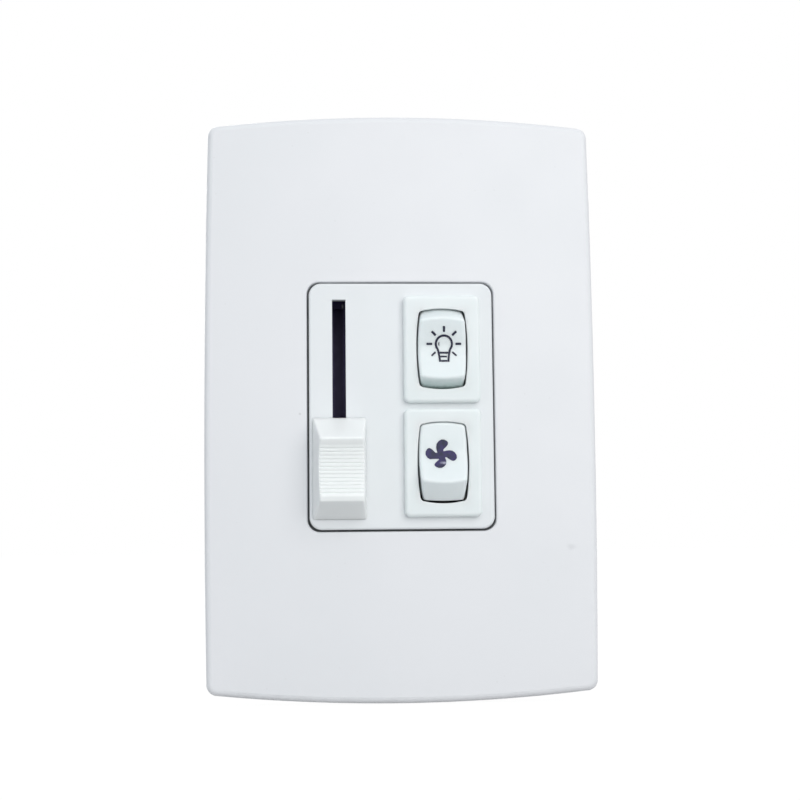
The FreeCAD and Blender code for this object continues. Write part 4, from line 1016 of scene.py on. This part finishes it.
@dataclass
class RockerSwitch(PackedPiece):
    """One rocker switch with its contacts, plunger spring and symbol."""

    slots: dict[str, Slot] = field(init=False)
    name: str
    symbol: Symbol
    tilt: float = 0.0
    spring_span: Span = (-1.5, 1.9)
    spring_radius: float = 1.1
    spring_wire: float = 0.28
    spring_turns: float = 6.0

    def __post_init__(self) -> None:
        """Name the switch's nodes."""
        ends = {"switch_case": Slot.BEZEL, "rocker": Slot.ROCKER, "plunger": Slot.BRASS,
                "contact_blade": Slot.COPPER, "switch_base": Slot.PHENOLIC, "terminals": Slot.BRASS}
        self.slots = {f"{self.name}_{end}": slot for end, slot in ends.items()}

    def build(self, book: FinishBook) -> list[bpy.types.Object]:
        """Dress the switch and make its spring and symbol.

        Args:
            book: The finishes.

        Returns:
            The new pieces.
        """
        self.dress(book)
        return [self.spring(book), self.symbol.build(book)]

    def spring(self, book: FinishBook) -> bpy.types.Object:
        """Wind the plunger's spring inside the rocker's stem.

        Args:
            book: The finishes.

        Returns:
            The spring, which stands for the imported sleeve.
        """
        pivot = next(joint["pos_m"] for joint in frame["joints"] if joint["name"] == f"{self.name}_rock")
        bm = bmesh.new()
        coil(bm, self.spring_radius - self.spring_wire / 2, self.spring_wire, self.spring_span,
             self.spring_turns)
        place = (Matrix.Translation(Vector(pivot)) @ Matrix.Rotation(math.radians(self.tilt), 4, "X")
                 @ Matrix.Scale(MM, 4))
        bmesh.ops.transform(bm, matrix=place, verts=bm.verts)
        item = new_piece(bm, f"{self.name}_coil_spring")
        book.dress(item, Slot.SPRING)
        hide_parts(f"{self.name}_spring")
        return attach(item, f"{self.name}_rocker")


@dataclass
class SpeedCircuit(PackedPiece):
    """The circuit board and what is soldered on its back."""

    slots: dict[str, Slot] = field(default_factory=lambda: {
        "circuit_board": Slot.BOARD, "heat_sink": Slot.SINK, "triac": Slot.EPOXY,
        "triac_bolt_screw": Slot.STEEL, "film_capacitor": Slot.FILM, "timing_capacitor": Slot.TIMING,
        "choke_core": Slot.FERRITE, "resistors": Slot.RESISTOR, "trigger_diode": Slot.DIODE})
    wire_pitch: float = 0.5
    wire_share: float = 0.98
    wire_steps: int = 28
    layers: int = 3

    def choke_turns(self, book: FinishBook) -> bpy.types.Object:
        """Wind the choke's copper wire in layers between its cheeks.

        Args:
            book: The finishes.

        Returns:
            The winding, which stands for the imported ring.
        """
        low, high = (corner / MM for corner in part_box("choke_winding"))
        middle = (low + high) / 2
        outside = (high.x - low.x) / 2
        turns = math.floor((high.y - low.y) / self.wire_pitch)
        bm = bmesh.new()
        for layer in range(self.layers):
            coil(bm, outside - self.wire_pitch * (layer + 0.5), self.wire_pitch * self.wire_share,
                 (low.y, high.y), turns, steps=self.wire_steps)
        bmesh.ops.translate(bm, verts=bm.verts, vec=(middle.x, 0.0, middle.z))
        bmesh.ops.scale(bm, vec=(MM, MM, MM), verts=bm.verts)
        item = new_piece(bm, "choke_turns")
        book.dress(item, Slot.COPPER)
        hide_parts("choke_winding")
        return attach(item, "base")


# Studio and camera

@dataclass(frozen=True)
class Softbox:
    """A square lamp that faces the object, in millimetres and watts."""

    name: str
    place: Spot
    size: float
    power: float
    colour: Colour = KEY_COLOUR

    def hang(self) -> None:
        """Hang the lamp and turn it to the origin."""
        data = bpy.data.lights.new(self.name, "AREA")
        data.size = self.size * MM
        data.energy = self.power
        data.color = self.colour
        item = bpy.data.objects.new(self.name, data)
        bpy.context.scene.collection.objects.link(item)
        item.location = Vector(self.place) * MM
        item.rotation_euler = (-item.location).to_track_quat("-Z", "Y").to_euler()


@dataclass
class Studio:
    """Pale floor, white surround and soft lamps."""

    floor_level: float = -60.2
    floor_radius: float = 4000.0
    floor_sides: int = 96
    floor_colour: Colour = (0.5, 0.5, 0.5)
    floor_roughness: float = 0.9
    floor_white: float = 1.08
    floor_white_share: float = 0.9
    surround: float = 0.575
    lamps: tuple[Softbox, ...] = (
        Softbox("key_softbox", (230.0, -590.0, 250.0), 620.0, 2.7),
        Softbox("top_softbox", (-60.0, -300.0, 620.0), 500.0, 0.2),
        Softbox("fill_softbox", (-480.0, -430.0, -60.0), 520.0, 0.6, SURROUND_COLOUR),
        Softbox("back_softbox", (-260.0, 620.0, 300.0), 420.0, 1.7))

    def build(self) -> None:
        """Lay the floor, the surround and the lamps."""
        self.floor()
        self.world()
        for lamp in self.lamps:
            lamp.hang()

    def floor(self) -> None:
        """Lay a round floor that looks white and keeps a soft shadow."""
        bm = bmesh.new()
        bmesh.ops.create_circle(bm, cap_ends=True, segments=self.floor_sides, radius=self.floor_radius * MM)
        bmesh.ops.translate(bm, verts=bm.verts, vec=(0.0, 0.0, self.floor_level * MM))
        item = new_piece(bm, "studio_floor", smooth=False)
        material = bpy.data.materials.new("floor_paper")
        material.use_nodes = True
        bench = NodeBench(material.node_tree)
        shader = material.node_tree.nodes["Principled BSDF"]
        shader.inputs["Base Color"].default_value = rgba(self.floor_colour)
        shader.inputs["Roughness"].default_value = self.floor_roughness
        glow = bench.add("ShaderNodeEmission", {"Color": rgba(WHITE), "Strength": self.floor_white})
        share = bench.math("MULTIPLY", self.seen(bench), self.floor_white_share)
        mixed = bench.add("ShaderNodeMixShader", {0: share, 1: shader.outputs[0], 2: glow.outputs[0]})
        bench.link(mixed.outputs[0], material.node_tree.nodes["Material Output"], "Surface")
        item.data.materials.append(material)

    @staticmethod
    def seen(bench: NodeBench) -> Socket:
        """Tell the rays that show the white background from those that only light the object.

        Args:
            bench: The bench of the floor's or the world's tree.

        Returns:
            1 for rays from the camera and for mirrored or refracted ones.
        """
        path = bench.add("ShaderNodeLightPath")
        mirrored = bench.math("MAXIMUM", path.outputs["Is Glossy Ray"], path.outputs["Is Transmission Ray"])
        return bench.math("MAXIMUM", path.outputs["Is Camera Ray"], mirrored)

    def world(self) -> None:
        """Make a surround that is white to the eye and dimmer as light."""
        world = bpy.data.worlds.new("studio_surround")
        bpy.context.scene.world = world
        world.use_nodes = True
        bench = NodeBench(world.node_tree)
        light = world.node_tree.nodes["Background"]
        light.inputs["Color"].default_value = rgba(SURROUND_COLOUR)
        light.inputs["Strength"].default_value = self.surround
        white = bench.add("ShaderNodeBackground", {"Color": rgba(WHITE), "Strength": 1.0})
        share = self.seen(bench)
        mixed = bench.add("ShaderNodeMixShader", {0: share, 1: light.outputs[0], 2: white.outputs[0]})
        bench.link(mixed.outputs[0], world.node_tree.nodes["World Output"], "Surface")


@dataclass
class PhotoCamera:
    """Camera at the photograph's standpoint, with its turn about the plate's own axes.

    The focus and the picture's centre are in pixels of a square picture.
    """

    distance: float = 300.0
    pitch: float = -5.29
    yaw: float = 3.04
    roll: float = 0.28
    focus: float = 1439.5
    centre: Point = (399.4, 407.8)
    picture: float = 800.0
    sensor: float = 36.0
    near: float = 10.0
    far: float = 20000.0

    def build(self) -> None:
        """Make the camera and set it as the scene's own."""
        data = bpy.data.cameras.new("photo_camera")
        data.sensor_width = self.sensor
        data.lens = self.sensor * self.focus / self.picture
        data.shift_x = (self.picture / 2 - self.centre[0]) / self.picture
        data.shift_y = (self.centre[1] - self.picture / 2) / self.picture
        data.clip_start = self.near * MM
        data.clip_end = self.far * MM
        item = bpy.data.objects.new("photo_camera", data)
        bpy.context.scene.collection.objects.link(item)
        turn = Matrix.Identity(3)
        for angle, axis in ((self.roll, "Z"), (self.yaw, "Y"), (self.pitch, "X")):
            turn = turn @ Matrix.Rotation(math.radians(angle), 3, axis)
        # Each row is an axis of the camera in the plate's own terms: right, up and out of the wall.
        right, up, back = (Vector((row[0], -row[2], row[1])) for row in turn)
        facing = Matrix((right, up, back)).transposed().to_4x4()
        item.matrix_world = Matrix.Translation(back * self.distance * MM) @ facing
        bpy.context.scene.camera = item


# Marks of use, and painted shade and highlights laid as marks

PLATE_SMUDGE = Mark((34.4, -6.6, -29.1), (1.5, 3.0, 1.0), (0.60, 0.61, 0.63), 0.45)
PLATE_SPECK = Mark((-20.6, -7.0, -1.8), (0.5, 3.0, 0.4), (0.50, 0.51, 0.52), 0.5)
# Painted shade: darkens the module face at the depth of its flange, deep in the gap round the panel, where
# there is only shadow.
GAP_PAINTED_SHADE = Mark((0.0, -4.4, 0.0), (500.0, 0.5, 500.0), (0.10, 0.11, 0.12), 0.9, 300.0)
# Painted shade: a soft greenish darkening of the lamp rocker's lower end towards the mouth of its case.
ROCKER_END_PAINTED_SHADE = Mark((8.25, -9.0, 3.2), (30.0, 8.0, 2.4), (0.45, 0.60, 0.57), 0.7, 300.0)
# Painted shadow: a dark line across the lamp rocker's lower end where it meets the mouth of its case; with
# that end raised it shows as a faint grey stripe.
ROCKER_END_PAINTED_SHADOW = Mark((8.25, -9.0, 3.0), (30.0, 4.0, 0.85), (0.16, 0.21, 0.20), 0.85)
# Painted highlight: a pale glint on the slide case, seen in the slot.
SLOT_PAINTED_GLINT = Mark((-11.66, 3.9, 22.0), (0.34, 6.0, 0.9), (0.6, 0.58, 0.64), 1.0)
WORN_INK = Mark((8.45, -9.0, -12.1), (1.5, 40.0, 0.45), (0.62, 0.62, 0.74), 0.6, 2400.0)

# Finishes of the slots and the inks

RESISTOR_BANDS = (
    Band(-15.4, 0.7, (0.25, 0.08, 0.03)), Band(-14.2, 0.6, (0.02, 0.02, 0.02)),
    Band(-13.1, 0.6, (0.55, 0.12, 0.02)), Band(-10.8, 0.6, (0.55, 0.38, 0.08)))

FINISHES: dict[Slot, Finish] = {
    Slot.PLATE: Moulded("satin_plate", (0.80, 0.808, 0.828), (0.786, 0.798, 0.817), gloss=(0.36, 0.46),
                        cloud=26.0, dust=0.10, marks=(PLATE_SMUDGE, PLATE_SPECK)),
    # The panel carries painted shade in the gap round it.
    Slot.PANEL: Moulded("satin_panel", (0.785, 0.811, 0.826), (0.772, 0.802, 0.815), cloud=45.0,
                        marks=(GAP_PAINTED_SHADE,)),
    Slot.BEZEL: Moulded("satin_bezel", (0.818, 0.858, 0.86), (0.80, 0.848, 0.848), gloss=(0.32, 0.42),
                        cloud=80.0, scatter=0.8),
    # The rockers carry painted shade and a painted shadow line at the lamp rocker's lower end.
    Slot.ROCKER: Moulded("gloss_rocker", (0.815, 0.865, 0.872), (0.80, 0.855, 0.86), gloss=(0.3, 0.4),
                         cloud=120.0, scatter=0.8, marks=(ROCKER_END_PAINTED_SHADE, ROCKER_END_PAINTED_SHADOW)),
    Slot.KNOB: Moulded("satin_knob", (0.888, 0.912, 0.905), (0.876, 0.904, 0.896), gloss=(0.36, 0.46),
                       cloud=120.0, scatter=0.9),
    Slot.FRAME: Moulded("grey_frame", (0.60, 0.61, 0.61), (0.56, 0.57, 0.575), gloss=(0.5, 0.66), cloud=50.0,
                        peel=1900.0, relief=Relief(0.3), dust=0.25),
    Slot.HOUSING: Moulded("matt_housing", (0.70, 0.70, 0.68), (0.66, 0.66, 0.635), gloss=(0.48, 0.64),
                          cloud=70.0, peel=1900.0, relief=Relief(0.3), dust=0.25),
    Slot.STEEL: Metal("zinc_steel", (0.60, 0.61, 0.62), (0.46, 0.45, 0.42), cloud=700.0),
    Slot.BOARD: Laminate("paper_laminate", (0.36, 0.22, 0.10), (0.29, 0.17, 0.075),
                         track=(0.16, 0.10, 0.045)),
    # The slide case carries a painted highlight.
    Slot.BLACK_SHEET: Moulded("black_sheet", (0.055, 0.042, 0.15), (0.062, 0.048, 0.16), gloss=(0.45, 0.55),
                              cloud=300.0, relief=Relief(0.03), marks=(SLOT_PAINTED_GLINT,)),
    Slot.TRACK: Moulded("carbon_track", (0.055, 0.042, 0.15), (0.062, 0.048, 0.16), gloss=(0.45, 0.55),
                        cloud=400.0, relief=Relief(0.03)),
    Slot.LEVER: Moulded("black_nylon", (0.08, 0.08, 0.09), (0.06, 0.06, 0.07), gloss=(0.4, 0.55),
                        cloud=300.0),
    Slot.COPPER: Metal("spring_copper", (0.72, 0.42, 0.25), (0.50, 0.24, 0.13), gloss=(0.22, 0.36)),
    Slot.BRASS: Metal("bare_brass", (0.75, 0.58, 0.28), (0.52, 0.38, 0.17), gloss=(0.24, 0.4)),
    Slot.SPRING: Metal("bright_wire", (0.55, 0.55, 0.56), (0.42, 0.42, 0.43), gloss=(0.18, 0.3)),
    Slot.PHENOLIC: Moulded("black_thermoset", (0.03, 0.03, 0.035), (0.045, 0.042, 0.045), gloss=(0.4, 0.6),
                           cloud=300.0),
    Slot.BLOCK: Moulded("grey_block", (0.22, 0.24, 0.25), (0.19, 0.205, 0.215), gloss=(0.42, 0.56),
                        cloud=160.0, relief=Relief(0.25)),
    Slot.SINK: Metal("plain_alloy", (0.74, 0.75, 0.76), (0.60, 0.61, 0.62), gloss=(0.3, 0.48),
                     streak=(5000.0, 5000.0, 260.0)),
    Slot.EPOXY: Zoned("moulded_epoxy", (0.02, 0.02, 0.02), (0.03, 0.03, 0.032), axis=Axis.Z,
                      span=(3.2, 12.4)),
    Slot.FILM: Moulded("amber_case", (0.55, 0.30, 0.06), (0.48, 0.25, 0.05), gloss=(0.2, 0.34), cloud=300.0,
                       coat=0.3),
    Slot.TIMING: Moulded("red_case", (0.45, 0.06, 0.04), (0.38, 0.05, 0.035), gloss=(0.2, 0.34), cloud=300.0,
                         coat=0.3),
    Slot.FERRITE: Moulded("sintered_ferrite", (0.07, 0.07, 0.075), (0.10, 0.095, 0.095), gloss=(0.5, 0.7),
                          cloud=700.0, peel=5000.0, relief=Relief(0.4)),
    Slot.RESISTOR: Zoned("banded_lacquer", (0.62, 0.50, 0.34), (0.56, 0.44, 0.29), axis=Axis.X,
                         span=(-16.2, -9.8), bands=RESISTOR_BANDS),
    Slot.DIODE: Zoned("blue_case", (0.10, 0.22, 0.45), (0.08, 0.18, 0.38), axis=Axis.X, span=(-4.2, -0.2),
                      gloss=(0.18, 0.3)),
}

LINE_INK = PrintInk("line_ink", (0.022, 0.022, 0.042), (0.045, 0.045, 0.075))
FILL_INK = PrintInk("fill_ink", (0.062, 0.052, 0.14), (0.045, 0.047, 0.078), cloud=900.0, marks=(WORN_INK,))


def main() -> None:
    """Build the classes in order and report each piece."""
    logging.basicConfig(level=logging.INFO, format="%(name)s: %(message)s")
    bpy.context.scene.view_settings.view_transform = "Standard"
    PhotoCamera().build()
    Studio().build()
    book = FinishBook(FINISHES)
    circuit = SpeedCircuit()
    for part in (CoverPlate(), ModulePanel(), SlideControl(), circuit):
        part.dress(book)
    made = [circuit.choke_turns(book)]
    light = RockerSwitch("light", BulbSymbol("bulb_symbol", "light_rocker", LINE_INK, (8.6, 12.02)))
    fan = RockerSwitch("fan", FanSymbol("fan_symbol", "fan_rocker", FILL_INK, (7.8, -10.5)), tilt=-14.0)
    for switch in (light, fan):
        made += switch.build(book)


if __name__ == "__main__":
    main()
